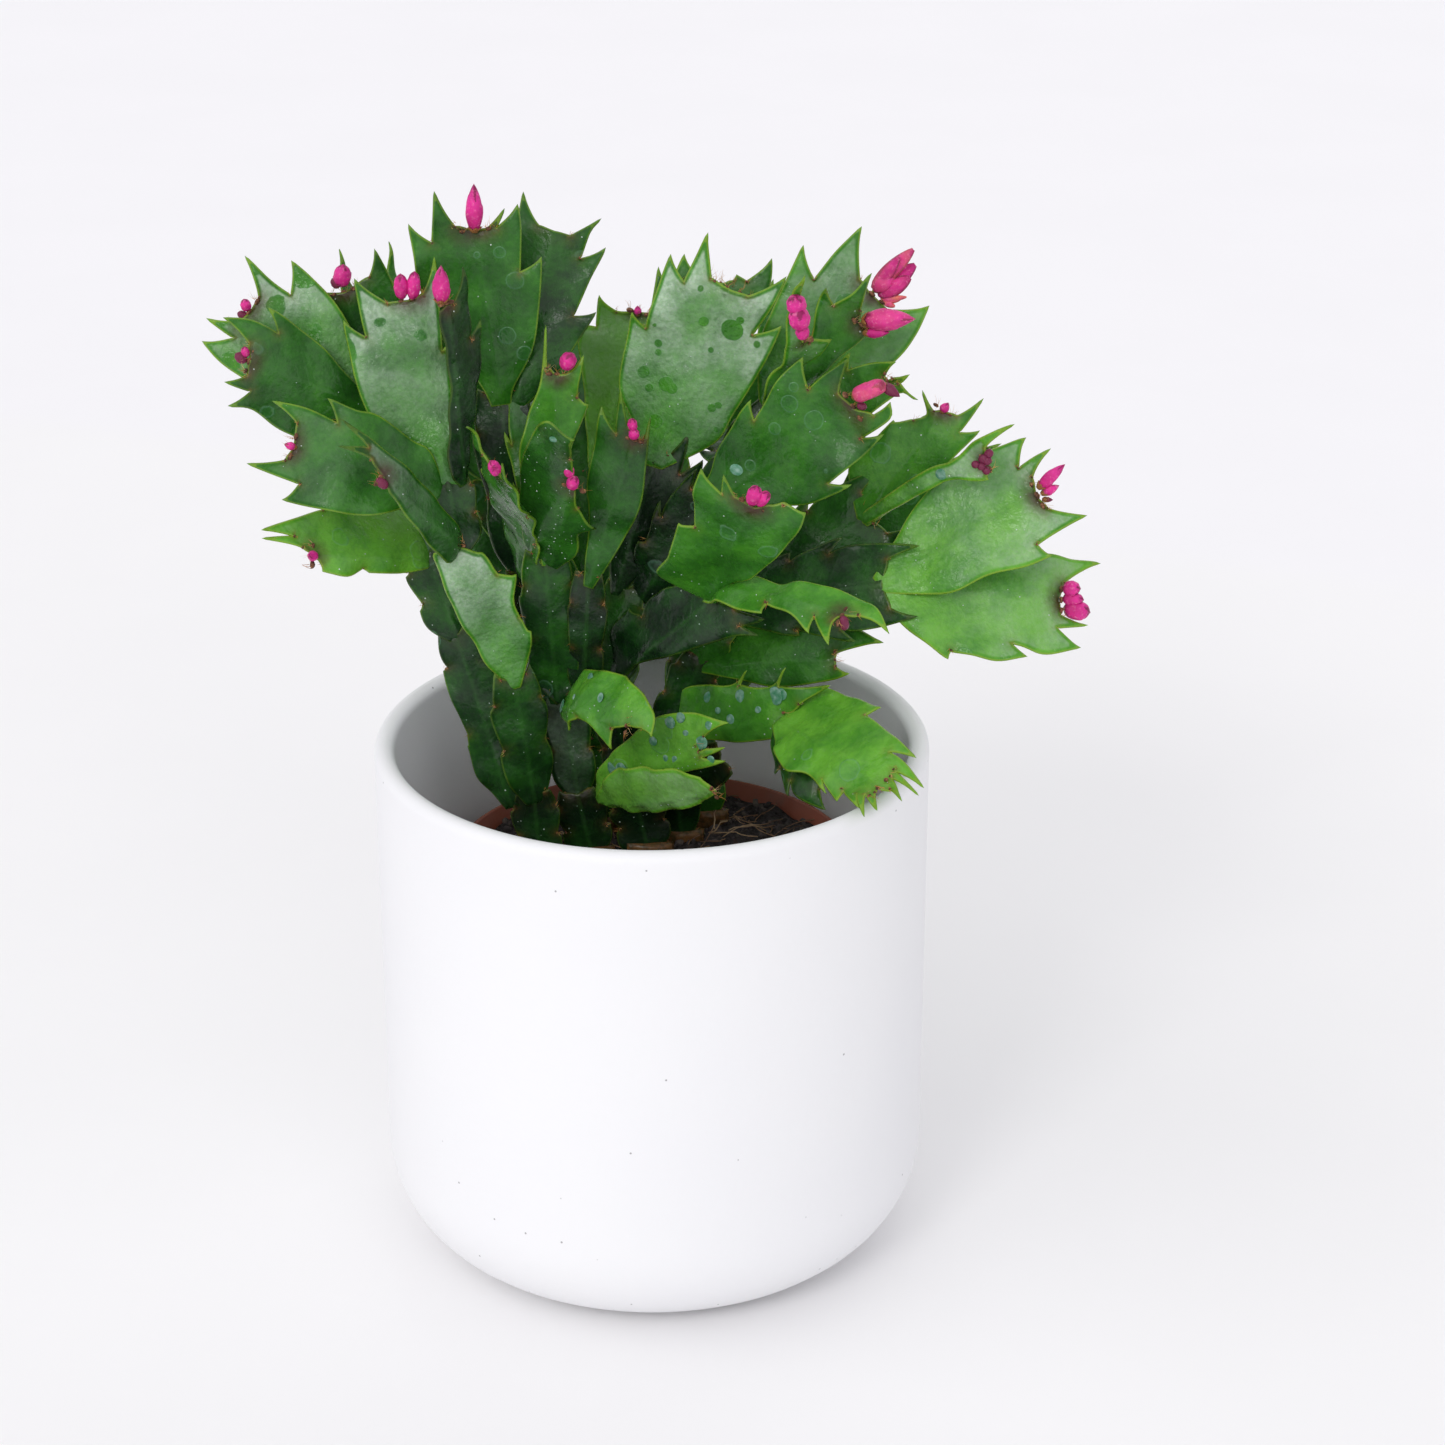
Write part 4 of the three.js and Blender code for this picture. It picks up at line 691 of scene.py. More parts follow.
# The outlines of the pads in front, each as its clockwise side and its other side from base to end, with
# points as they are seen: (x, h)
seenOutlines = dict(
    a3=[[(-30.7, 22), (-30.6, 26.3, tip), (-33.4, 29.6), (-35, 34), (-34.4, 39.9, tip), (-39, 40.6),
         (-43, 46)],
        [(-42, 18), (-45.5, 24), (-49.8, 31), (-52.6, 38), (-55, 46.2)]],
    a4=[[(-48.6, 51), (-53.5, 58.3), (-61, 66.2), (-68, 72), (-77.8, 79.6, tip), (-72, 72.4),
         (-79.3, 72.8, tip), (-71, 69.5)],
        [(-51.8, 43.5), (-57, 49), (-62, 55.5), (-66.5, 61.2)]],
    a6=[[(-50.4, 80), (-51.6, 98.5, tip), (-53, 97), (-54, 110), (-55.1, 120.5, tip), (-58, 111.3)],
        [(-58, 67), (-66, 73), (-72.5, 83), (-76, 95), (-77.8, 104.5, tip), (-72.2, 100.3), (-74, 108),
         (-75.2, 115, tip), (-67, 108.9)]],
    a7=[[(-44.6, 82), (-42.6, 97), (-43.1, 104.6, tip), (-45.4, 99.7), (-46.2, 111), (-47.9, 118, tip),
         (-50.2, 108.5)],
        [(-51.5, 68), (-51.2, 88), (-54, 107)]],
    a8=[[(-56.3, 71.5), (-60.5, 74.2), (-69, 80.4), (-75, 81.8), (-81.8, 84.8, tip), (-79.5, 78.6),
         (-87, 82.2), (-95.8, 84.2, tip), (-89.6, 78.5)],
        [(-60, 58), (-72, 55.5), (-84, 57.2), (-93.3, 59.3, tip), (-89, 63.3), (-96.5, 66.1),
         (-102.2, 68.4, tip), (-92.7, 69.2)]],
    a10=[[(-77, 90.5), (-83, 97.5), (-92, 104.7), (-97, 107.7, tip), (-94.4, 101.2), (-101, 104.5),
          (-108.2, 105.2, tip), (-101.8, 98.9)],
         [(-75, 76), (-83, 73.5), (-92.8, 76.6), (-101, 82.2), (-107, 83, tip), (-101.3, 86.7),
          (-107.9, 89, tip), (-102.3, 90.6)]],
    a11=[[(-75, 100), (-80, 108.7), (-86, 115.2), (-91, 119.5, tip), (-91.2, 110.9), (-96.5, 114.7),
          (-102.8, 120.8, tip), (-99.3, 110.4)],
         [(-78, 80), (-90, 82), (-103, 90), (-109, 94.2), (-113.6, 99.3, tip), (-105.5, 100.1),
          (-112.5, 105.1, tip), (-103.8, 104.4)]],
    a14=[[(-57.8, 49.3), (-61.5, 55), (-68, 60), (-73, 63.5), (-80, 61.6), (-86.4, 60.4, tip), (-83, 56.7),
          (-91.5, 54), (-98.1, 51.7, tip), (-90.3, 50), (-97.8, 49.6, tip), (-88.3, 47.2)],
         [(-63, 40.9), (-71.3, 41, tip), (-73, 42), (-77.5, 40), (-83, 41.3, tip), (-83.8, 43.3)]],
    b6=[[(-35, 88), (-30.4, 97), (-28.7, 108), (-28, 120.6, tip), (-33.4, 116.8), (-33.2, 128),
         (-34, 133.8, tip), (-39.6, 127.7), (-37.3, 132.9, tip), (-41.8, 127.7)],
        [(-43, 88), (-52, 98.5), (-58.3, 112), (-60, 121), (-61.5, 128.8, tip), (-55.6, 124.1), (-55.2, 131),
         (-55, 137.2, tip), (-49.8, 128.2)]],
    b7=[[(-24, 91), (-19.5, 98.3), (-14.2, 106.5, tip), (-19.9, 105.6), (-16, 114.5), (-11.8, 122.9, tip),
         (-18.2, 120.3), (-15.7, 127), (-13, 130.4, tip), (-20.6, 125.9)],
        [(-37.5, 88), (-39, 97), (-36, 110), (-34, 128), (-32.6, 137.1, tip), (-28.6, 128.5)]],
    b10=[[(-22, 62), (-20.6, 72), (-16.2, 83.2, tip), (-18.9, 85), (-18.8, 89), (-17.4, 95.8, tip),
          (-21.7, 91.2)],
         [(-33.3, 68), (-31.5, 79), (-27.9, 90), (-26.8, 103.2, tip), (-26.4, 92.6)]],
    b11=[[(-19.2, 45.5), (-18.6, 50.8), (-14.5, 51.6, tip), (-18.8, 57.2)],
         [(-32.4, 49), (-33.4, 64.8), (-31.4, 73), (-26.5, 79.8), (-19.4, 75.1, tip), (-20.8, 69.5)]],
    b13=[[(-8, 48), (-3, 58), (-1.5, 70), (-0.5, 80, tip), (-2, 74.5)],
         [(-15.8, 56), (-16.3, 63), (-14.3, 74.5), (-12.7, 82.9, tip), (-9, 76), (-7.9, 87, tip),
          (-5.5, 77)]],
    b16=[[(-20.8, 1.1, tip), (-18.2, 4.2), (-15, 2), (-11.1, -3.4, tip), (-10.5, 1.5)],
         [(-18.5, 14.8), (-12.5, 16), (-5.5, 13.5), (0.5, 6), (0.7, -0.8, tip), (-2.5, 1.6)]],
    b17=[[(3, -11), (11, -8.8), (18.3, -6.8, tip), (12.8, -5.6), (18.6, -3.2, tip), (14, -3.6)],
         [(-12.5, -8), (-5, -0.6), (2, 4.5), (10, 5), (19.2, 2.9, tip), (13, -0.6)]],
    b18=[[(-4, -19.4), (5, -18.8), (12, -17.6)],
         [(-10, -9.6), (-3, -8.8), (6, -9.4), (12, -11)]],
    c3=[[(-4, 17.6), (6, 20.2), (20, 24.8), (26, 25, tip), (22, 27.4), (28.5, 29.2, tip), (21, 31.6)],
        [(-10, 22.8), (-8.7, 27.5), (-5.4, 31.8, tip), (-2.2, 29.8), (-0.5, 34.5), (5, 37.2), (12, 37.5)]],
    c4=[[(18, 36.5), (26, 40.5), (33, 46.5), (37, 51.5), (38.7, 56, tip), (33, 57.9), (30.4, 57.6)],
        [(1.8, 40.5), (4.5, 45.5), (6.7, 53.1, tip), (10.9, 52.4), (10.3, 60), (12.3, 66.8, tip),
         (17.7, 60.8), (18, 65.3, tip), (21, 60.2)]],
    c5=[[(23, 31.5), (27.5, 30.8, tip), (28.6, 33.4), (35.5, 30), (39.4, 26, tip), (41, 30.1),
         (44.7, 22, tip), (45.8, 28)],
        [(17.5, 38), (22, 39.5), (33, 38.6), (47, 36.3), (55.5, 32.9), (59.9, 26.2, tip), (52, 30.2)]],
    c7=[[(1, 45), (9, 56), (11.8, 64), (12.9, 69.6, tip), (6.8, 65.5), (9.4, 76.4, tip), (4, 70.5)],
        [(-10, 48), (-8.5, 58), (-5, 68), (-3, 71.5)]],
    c8=[[(15.5, 73.5), (20.5, 81), (26, 89.8), (29.7, 96.5), (32.3, 102.6, tip), (25.3, 100.8), (30.5, 108.5),
         (33.7, 115.3, tip), (24.6, 111)],
        [(-4, 73.5), (-5, 79.5), (-8.1, 88.3), (-6.6, 98.5), (-4.7, 107, tip), (-1.6, 102.6), (1.3, 112),
         (4.5, 120.9, tip), (8.2, 114.5), (10.8, 120), (14, 126.5, tip), (14.9, 115.2)]],
    c9=[[(8, 76), (19, 88), (26, 102), (29.6, 113), (30.2, 120.1, tip), (24, 114.4), (21.4, 116, tip),
         (20.6, 114.6)],
        [(-2.5, 88), (0, 108), (1.6, 118, tip), (4, 112), (8.2, 121.2, tip), (12, 115)]],
    c11=[[(28, 57.6), (38, 58), (45.5, 60.6), (50.3, 63.1, tip), (44.6, 63.5), (52.5, 70), (58.2, 75.7, tip),
          (52.4, 74.6), (60, 79.8), (60.7, 84.1, tip), (56, 80.6)],
         [(15, 66), (17.5, 73.5), (24.9, 84.4, tip), (26.2, 79.4), (32, 89.5), (37.5, 95, tip), (39.3, 87),
          (43, 90.3), (49.4, 94.8, tip), (47.3, 86.2)]],
    c13=[[(42, 84), (52, 87.5), (61.5, 94.6), (66.5, 101), (69.9, 108.2, tip), (59.6, 107.2)],
         [(27, 97), (30.5, 107), (34.4, 115.5), (38.2, 123.5, tip), (40.9, 114.9), (47, 122.4),
          (52.9, 128.2, tip), (52.4, 115)]],
    c14=[[(40, 88), (45, 93.7), (54, 100.8, tip), (54.2, 102)],
         [(36, 92), (40.3, 100), (41.5, 107), (43.9, 113.5, tip), (45.9, 108.1), (51, 112.2),
          (55.4, 116.6, tip), (52.6, 107)]],
    c15=[[(36.5, 90.5), (42, 95.2), (45.4, 98.6, tip), (39.8, 98.9)],
         [(28.6, 88), (33, 94), (34, 104), (35.4, 110.8), (38.5, 116.3, tip), (36.6, 103.5)]],
    c16=[[(46, 77), (54, 80), (61.8, 86.2), (67.2, 84.6, tip), (62, 88.5), (64.7, 90.8, tip), (60.6, 89.9)],
         [(40, 86), (45.5, 92.5), (50.2, 96.3, tip), (49.4, 91.9), (55, 93.6), (61.7, 94.1, tip),
          (58.2, 90.3)]],
    d3=[[(22, 14), (32, 12.2), (45, 13.8), (50.7, 15.4, tip), (46.2, 17.2)],
        [(20, 26), (31, 30), (43, 29.8), (51, 26.8), (59.1, 23.2, tip), (46.5, 20.6)]],
    d4=[[(12, -1), (22, -1.8), (32.2, -0.5), (36.3, 2.8)],
        [(7, 10.6), (14, 12.4), (20, 12.4), (24.6, 16.2, tip), (22, 12.4), (30, 12), (34.4, 16.9, tip),
         (32, 12), (38.5, 11.6), (44.8, 12.3, tip), (37, 7.6)]],
    d5=[[(31.2, -4.5), (34.5, -9.5), (39.5, -10), (43.5, -14.3, tip), (43.2, -11.5), (46.4, -16.4, tip),
         (47.8, -13.6), (52.5, -18.8, tip), (51.9, -15), (53.5, -20.6, tip), (54, -15.2), (57, -19.4, tip),
         (56.2, -14.6)],
        [(38, 9.2), (43.5, 11), (50, 9.7), (57.9, 6.5, tip), (53.8, 4.8), (60.5, -0.2), (66.3, -5.4, tip),
         (60, -4.8), (63.5, -6.8), (68.1, -12.8, tip), (61, -8.8), (67, -15, tip), (60, -10.5),
         (63.2, -17, tip), (60, -13.6)]],
    d10=[[(69, 35.6), (77, 36.3), (84, 40), (93, 42.5), (100.9, 45.2, tip), (97.2, 48), (103, 51.8),
          (109.7, 55.3, tip), (99.9, 57.2)],
         [(62, 50), (70, 62), (80, 69), (88.5, 72.8), (94.2, 75.1, tip), (92.4, 67.4), (100.5, 72.3, tip),
          (95.9, 65)]],
    d11=[[(65, 26.2), (74.9, 19.5, tip), (75.5, 21.3), (87, 18.7), (94.3, 19.4, tip), (90.6, 22.8),
          (100, 20.6), (108.2, 22, tip), (102.2, 26.9), (110.3, 27.8, tip), (103.2, 30.2)],
         [(72, 43), (88, 46), (101.5, 45), (113, 43.1, tip), (104.2, 38.2)]],
    d12=[[(70, 62), (76, 64.5), (84.7, 64.3, tip), (84.6, 66.8)],
         [(68, 66), (76.5, 69.4), (82.4, 74.6), (91.7, 78.5, tip), (84.5, 72.5)]],
    d13=[[(62, 58), (70, 64), (77, 71), (82.7, 76.7, tip), (77.5, 76.3), (83.6, 84.7, tip), (77, 80.5)],
         [(49.8, 67), (55, 73), (61, 79.3, tip), (66, 79.4), (69.5, 80.8), (68.3, 86.8, tip), (71.2, 81.6)]],
    e13=[[(-6, 76), (0, 84), (3, 96), (4, 108, tip), (0, 106)],
         [(-16.8, 81), (-17.3, 90), (-18.4, 98.7), (-17, 104, tip), (-14, 103), (-13.3, 110.9, tip),
          (-9, 106.6)]],
)
outlineWobble = dict(across=0.05, along=0.02, tooth=0.12, lift=0.09)
midribEnd = 0.96
pad = dict(cupPower=1.4, sink=3.2, siblingStep=0.5, neck=0.16, edgeStep=1.0,
           fieldStep=1.9, fieldFrom=2.6, fieldGap=2.0, margin=0.3, body=0.72, marginRise=1.6,
           ridge=0.42, ridgeWidth=1.3, ridgeTaper=(1.15, 0.95, 0.12), ridgeFade=1.2, underRidge=0.8,
           roundness=0.24, ringDepths=(0.55, 1.3), ringGap=0.82, rowStep=0.87,
           ribLines=(-1.7, -0.8, 0, 0.8, 1.7), ribStep=1.5, ribGap=0.8)
# A pad's relief: waves (mm long, share), ripples along the margin, and a flat start
padRelief = dict(wave=0.62, waves=((26, 1.0), (17, 0.6), (11, 0.35)), ripple=0.5, rippleReach=2.5,
                 rippleTurn=0.55, sideShift=2.4, flatStart=6, toothReach=1.15,
                 toothPower=1.5)
# A tooth's curves: how far the outer edge swells and hooks, how hollow the inner edge is
tooth = dict(hook=0.8, seenHook=0.25, lead=0.8, swell=0.35, slack=0.45, forward=(-0.17, 0.47), back=0.9,
             notchTurn=(0.55, 0.45), notchReach=0.7, endLeave=(1.1, 0.2), endArrive=(1.1, 0))
# Marks that the material reads: mm or shares over which each fades
padMark = dict(notchReach=0.7, tintWidth=0.22, tintLength=3.4, tintEdge=1.3, deepest=6, across=60, along=80)
foot = dict(depth=14, rise=3.5, halfThickness=2.6, narrowing=0.12, fluting=0.05, flutes=9, sides=28, rings=12)

# Looks of single pads: tone from old and dark (0) to fresh and light (1), some raised as painted light; pale
# waxy bloom, partly a painted sheen; wet spots
# Some tones are painted light: a14, e13 and the back pads e5, e9, f4, f5 and f9 are set lighter to offset the
# shade they lie in or to stand in for light shining through them
padTonesWithPaintedLight = dict(
    a1=0.06, a2=0.2, a3=0.66, a4=0.34, a5=0.12, a6=0.6, a7=0.14, a8=0.47, a9=0.2, a10=0.46, a11=0.72, a12=0.2,
    a13=0.2, a14=0.95, a15=0.34, a16=0.4, a17=0.5,
    b1=0.05, b2=0.14, b3=0.16, b4=0.5, b5=0.1, b6=0.48, b7=0.3, b8=0.28, b9=0.5, b10=0.66, b11=0.36,
    b12=0.08, b13=0.36, b16=0.78, b17=1.0, b18=1.05,
    c1=0.06, c2=0.06, c3=0.12, c4=0.56, c5=0.76, c6=0.24, c7=0.03, c8=0.66, c9=0.56, c10=0.08, c11=0.46,
    c12=0.2, c13=0.7, c14=0.52, c15=0.66, c16=0.58, c17=0.06,
    d1=0.06, d2=0.1, d3=0.56, d4=0.72, d5=0.92, d6=0.25, d7=0.5, d8=0.2, d9=0.34, d10=0.86, d11=0.9, d12=0.85,
    d13=0.7, e5=0.55, e9=0.5, e13=1.2, f4=0.5, f5=0.55, f9=0.5,
)
# pale bloom per pad: partly real wax, partly a painted sheen that stands in for the gloss highlight
padBloomAndSheen = dict(
    a3=0.8, a4=0.25, a6=0.65, a8=0.1, a11=0.7, a14=0.12, b2=0.5, b9=0.1, b16=0.05, b18=0.3,
    c7=0.1, c8=0.8, c9=0.12, c13=0.35, c14=0.12, c15=0.2, d10=0.4, d11=0.35, d12=0.6, e13=0.35,
)
padSpots = dict(
    a6=0.4, a8=0.3, a10=0.3, a11=0.35, a14=0.2, b6=0, b10=0.2, b11=0.1, b13=0, b16=0.2, b17=0.4,
    c4=0.2, c8=0, c11=0,
)
usualPad = dict(tone=0.4, bloom=0.03, spots=0.12, endTint=0.25, buddedEndTint=0.9)
# Dried drops on the pads in front, as they are seen: (x, h, radius)
driedDrops = dict(
    c8=[(20.3, 102.2, 2.8), (22.4, 104.8, 1.1), (12.4, 112.8, 0.9), (1.5, 98.8, 1.2), (1.5, 96.6, 1.1),
        (-2.5, 99.4, 0.7), (-2, 91.8, 1.6), (3.8, 88.8, 2), (5.2, 87.8, 1.6), (15.2, 82.6, 1.1),
        (16.9, 83.4, 0.9), (13.2, 104.7, 1.3), (14.9, 97.3, 0.9), (0.8, 103.8, 0.6), (1, 79.4, 1.8),
        (16.4, 77.3, 0.8), (18.5, 78.6, 0.6), (22.5, 108.4, 0.6), (25, 108.9, 0.7),
        (26.5, 98.6, 1), (-0.6, 87.8, 1.1)],
    b6=[(-34.6, 114.8, 2.1), (-38.5, 121.9, 1.4), (-44.3, 121.3, 0.8), (-36.4, 100.9, 2.1), (-32.3, 96.6, 1.8)],
    c11=[(35.1, 83.8, 2.1), (41.1, 79.5, 2.3), (31.5, 77.5, 1.5), (36.1, 87.8, 1.1), (25, 68.1, 1.4),
         (44.6, 66.8, 0.9)],
)
# How far the lower part of a pad is drawn back behind its neighbour, and where on the pad
tuck = dict(d6=2)
tuckPlace = dict(middle=0.25, spread=0.2)
driedDrop = dict(softness=0.15, waver=0.1, rimWidth=0.3)


def randomFrom(seed):
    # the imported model's own repeatable numbers between -1 and 1, so that both have the same teeth
    state = seed * 7919 + 17

    def draw():
        nonlocal state
        state = state * 16807 % 2147483647
        return state / 2147483647 * 2 - 1
    return draw


def seen(x, h, y):
    # the place at depth y that is seen at (x, h)
    aimX, aimH = view["aim"][0], aimHeight
    tilt = view["elevation"]
    nearer = h * math.tan(tilt) - y / math.cos(tilt)
    scale = 1 - nearer / view["distance"]
    up = aimH + (h - aimH) * scale
    rise = (up - y * math.sin(tilt)) / math.cos(tilt)
    return np.array([aimX + (x - aimX) * scale, y, coverPot["height"] + rise])


def turnedAbout(vector, axis, angle):
    return (vector * math.cos(angle) + np.cross(axis, vector) * math.sin(angle)
            + axis * (axis @ vector) * (1 - math.cos(angle)))


def padFrame(start, end, width, bend):
    chord = end - start
    length = np.linalg.norm(chord)
    along = chord / length
    face = towardEye - along * (towardEye @ along)
    face = turnedAbout(face / np.linalg.norm(face), along, math.radians(bend.get("roll", 0)))
    side = np.cross(along, face)
    curl = math.radians(bend.get("curl", 0) or 0.01)
    radius = length / (2 * math.sin(curl / 2))
    cup = bend.get("cup", 0)

    def place(across, v, lift=0.0):
        angle = np.asarray(curl * (np.asarray(v) - 0.5))
        normal = np.multiply.outer(np.cos(angle), face) - np.multiply.outer(np.sin(angle), along)
        raised = lift + cup * (width / 2) * np.abs(across) ** pad["cupPower"]
        return (start + np.multiply.outer(radius * (math.sin(curl / 2) + np.sin(angle)), along)
                + np.multiply.outer(radius * (math.cos(curl / 2) - np.cos(angle)), face)
                + np.multiply.outer(np.asarray(across) * width / 2, side)
                + np.asarray(raised)[..., None] * normal)

    endDirection = along * math.cos(curl / 2) + face * math.sin(curl / 2)
    endFace = face * math.cos(curl / 2) - along * math.sin(curl / 2)
    return dict(place=place, side=side, length=length, width=width, tip=end, endDirection=endDirection,
                endFace=endFace)


def sight(point):
    # where a point is seen, as (x, h)
    tilt = view["elevation"]
    rise = point[2] - coverPot["height"]
    up = point[1] * math.sin(tilt) + rise * math.cos(tilt)
    nearer = rise * math.sin(tilt) - point[1] * math.cos(tilt)
    aim = np.array([view["aim"][0], aimHeight])
    return aim + (np.array([point[0], up]) - aim) / (1 - nearer / view["distance"])


def placeSeenAt(frameOfPad, goal):
    # the place (across, along) on a pad that is seen at a point, found in a few straight steps
    place, nudge, tries = frameOfPad["place"], 0.01, 6
    at = np.array([0, 0.5])
    for _ in range(tries):
        here = sight(place(*at))
        slopes = np.stack([sight(place(at[0] + nudge, at[1])) - here,
                           sight(place(at[0], at[1] + nudge)) - here], axis=1) / nudge
        at = at + np.linalg.solve(slopes, np.array(goal) - here)
    return at


def variedSide(side, draw):
    # points (across, along, is a tip) with their small irregularities
    wobble = outlineWobble
    points = []
    for i, (across, v, *mark) in enumerate(side):
        if mark:
            before = points[-1]
            reach = 1 + wobble["tooth"] * draw()
            points.append((before[0] + (across - side[i - 1][0]) * reach,
                           before[1] + (v - side[i - 1][1]) * reach, True))
        else:
            loose = 1 if 0 < i < len(side) - 1 else 0
            spread = across * (1 + loose * wobble["across"] * draw())
            points.append((spread, v + loose * wobble["along"] * draw(), False))
    return points


def outlineOf(name, bend, frameOfPad, draw):
    # both sides of a pad's outline, the clockwise one first
    if name not in seenOutlines:
        side = outlines[bend.get("shape", "normal")]
        return [(hand, variedSide(side, draw)) for hand in (1, -1)]
    sides = []
    for hand, side in zip((1, -1), seenOutlines[name]):
        points = [(pad["neck"], 0, False)]
        for x, h, *mark in side:
            across, v = placeSeenAt(frameOfPad, (x, h))
            points.append((across * hand, v, bool(mark)))
        sides.append((hand, points))
    return sides


def curveTo(start, leave, end, arrive, step):
    # a smooth curve between two points from its directions there, without its last point
    count = max(2, round(np.linalg.norm(end - start) / step))
    t = (np.arange(count) / count)[:, None]
    return ((2 * t**3 - 3 * t**2 + 1) * start + (t**3 - 2 * t**2 + t) * leave
            + (3 * t**2 - 2 * t**3) * end + (t**3 - t**2) * arrive)


def smoothHalf(points, width, length, hook, step, draw):
    # the half outline in mm with curved teeth: the outer edge swells and hooks forward, the inner one is hollow
    path, notches, tips = [], [], []
    scale = np.array([width / 2, length])
    run = [np.array(points[0][:2]) * scale]
    for i, (across, v, isTip) in enumerate(points[1:], 1):
        here = np.array([across, v]) * scale
        run.append(here)
        if not isTip:
            continue
        before, notch = run[-2], np.array(points[i + 1][:2]) * scale
        base = (before + notch) / 2
        for k in range(len(run) - 1):
            start, end = run[k], run[k + 1]
            ahead = end - start
            earlier = run[k - 1] if k else start - ahead * 0.2
            leave = (end - earlier) / 2
            if len(run) == 2:
                leave = ahead * tooth["lead"] + tooth["swell"] * hook * np.array([ahead[1], -ahead[0]])
            if k + 2 < len(run):
                arrive = (run[k + 2] - start) / 2
            else:
                arrive = ((1 - tooth["slack"] * hook) * ahead
                          + hook * np.linalg.norm(ahead) * np.array(tooth["forward"]))
            path.append(curveTo(start, leave, end, arrive, step))
        gap = np.linalg.norm(notch - here)
        back = (base - here) / np.linalg.norm(base - here)
        inward = (notch - before) / np.linalg.norm(notch - before)
        turned = tooth["notchTurn"][0] * back + tooth["notchTurn"][1] * inward
        path.append(curveTo(here, back * gap * tooth["back"], notch, turned * gap * tooth["notchReach"], step))
        notches.append(notch)
        tips.append((here, base, outlineWobble["lift"] * draw()))
        run = []
    end = np.array([0, midribEnd * length])
    for k in range(len(run) - 1):
        earlier = run[k - 1] if k else run[k] * 2 - run[k + 1]
        later = run[k + 2] if k + 2 < len(run) else end
        path.append(curveTo(run[k], (run[k + 1] - earlier) / 2, run[k + 1], (later - run[k]) / 2, step))
    last = run[-1]
    path.append(curveTo(last, (end - last) * tooth["endLeave"], end, (end - last) * tooth["endArrive"], step))
    return np.concatenate(path), notches, tips


def edgeDistance(points, loop):
    # distance of every point from a closed outline, and whether it is inside
    a, b = loop, np.roll(loop, -1, axis=0)
    run = b - a
    rel = points[:, None, :] - a[None]
    t = np.clip((rel * run).sum(-1) / np.maximum((run * run).sum(-1), 1e-12), 0, 1)
    gap = np.sqrt(((rel - t[..., None] * run) ** 2).sum(-1)).min(1)
    x, y = points[:, :1], points[:, 1:]
    crosses = (a[:, 1] > y) != (b[:, 1] > y)
    with np.errstate(divide="ignore", invalid="ignore"):
        hit = a[:, 0] + (y - a[:, 1]) * run[:, 0] / run[:, 1]
    inside = (crosses & (x < hit)).sum(1) % 2 == 1
    return gap, inside


def padField(loop, width, length):
    # the flat pad's inner points: two rings that follow the margin, rows along the midrib, and an even field
    tangent = np.roll(loop, -1, axis=0) - np.roll(loop, 1, axis=0)
    outward = np.stack([tangent[:, 1], -tangent[:, 0]], axis=1)
    outward /= np.maximum(np.linalg.norm(outward, axis=1), 1e-9)[:, None]
    chosen = []
    for depth in pad["ringDepths"]:
        ring = loop - outward * depth
        gap, inside = edgeDistance(ring, loop)
        chosen.append(ring[inside & (gap > depth * pad["ringGap"])])
    step = pad["fieldStep"]
    rows = np.arange(-length * 0.1, length * 1.3, step * pad["rowStep"])
    field = [(x + (j % 2) * step / 2, y) for j, y in enumerate(rows)
             for x in np.arange(-width, width, step) if abs(x + (j % 2) * step / 2) > pad["fieldFrom"]]
    ribs = [(x, y) for y in np.arange(0.8, length, pad["ribStep"]) for x in pad["ribLines"]]
    for points, least in ((np.array(field), pad["fieldGap"]), (np.array(ribs), pad["ribGap"])):
        gap, inside = edgeDistance(points, loop)
        chosen.append(points[inside & (gap > least)])
    return np.concatenate(chosen)


def padLift(name, flat, gap, frameOfPad, tips, seed):
    # how far every point of a flat pad is raised: waves, a rippled margin and teeth that lean
    width, length = frameOfPad["width"], frameOfPad["length"]
    x, y = flat[:, 0], flat[:, 1]
    generator = np.random.default_rng(seed)
    lift = np.zeros(len(flat))
    for size, share in padRelief["waves"]:
        turn, phase = generator.uniform(0, math.pi), generator.uniform(0, 2 * math.pi)
        run = x * math.cos(turn) + y * math.sin(turn)
        lift += padRelief["wave"] * share * np.sin(run * 2 * math.pi / size + phase)
    ripple = np.sin(y * padRelief["rippleTurn"] + padRelief["sideShift"] * np.sign(x) + generator.uniform(0, 6))
    lift += padRelief["ripple"] * np.exp(-gap / padRelief["rippleReach"]) * ripple
    lift *= np.clip(y / padRelief["flatStart"], 0, 1)
    along = np.clip(y / length, 0, 1.2)
    lift -= tuck.get(name, 0) * np.exp(-((along - tuckPlace["middle"]) / tuckPlace["spread"]) ** 2)
    for tip, base, toothLift in tips:
        reach = np.linalg.norm(tip - base) * padRelief["toothReach"]
        near = np.clip(1 - np.linalg.norm(flat - tip, axis=1) / reach, 0, 1)
        lift += toothLift * width / 2 * near ** padRelief["toothPower"]
    return lift


def marginOf(flat, triangles):
    # the edges that only one triangle has, their points, and the way out of the pad at each point
    pairs = [pair for a, b, c in triangles for pair in ((a, b), (b, c), (c, a))]
    known = set(pairs)
    rim = [(a, b) for a, b in pairs if (b, a) not in known]
    push = np.zeros((len(flat), 2))
    for a, b in rim:
        run = flat[b] - flat[a]
        normal = np.array([run[1], -run[0]]) / max(np.linalg.norm(run), 1e-9)
        push[a] += normal
        push[b] += normal
    push /= np.maximum(np.linalg.norm(push, axis=1), 1e-9)[:, None]
    return rim, sorted({a for pair in rim for a in pair}), push


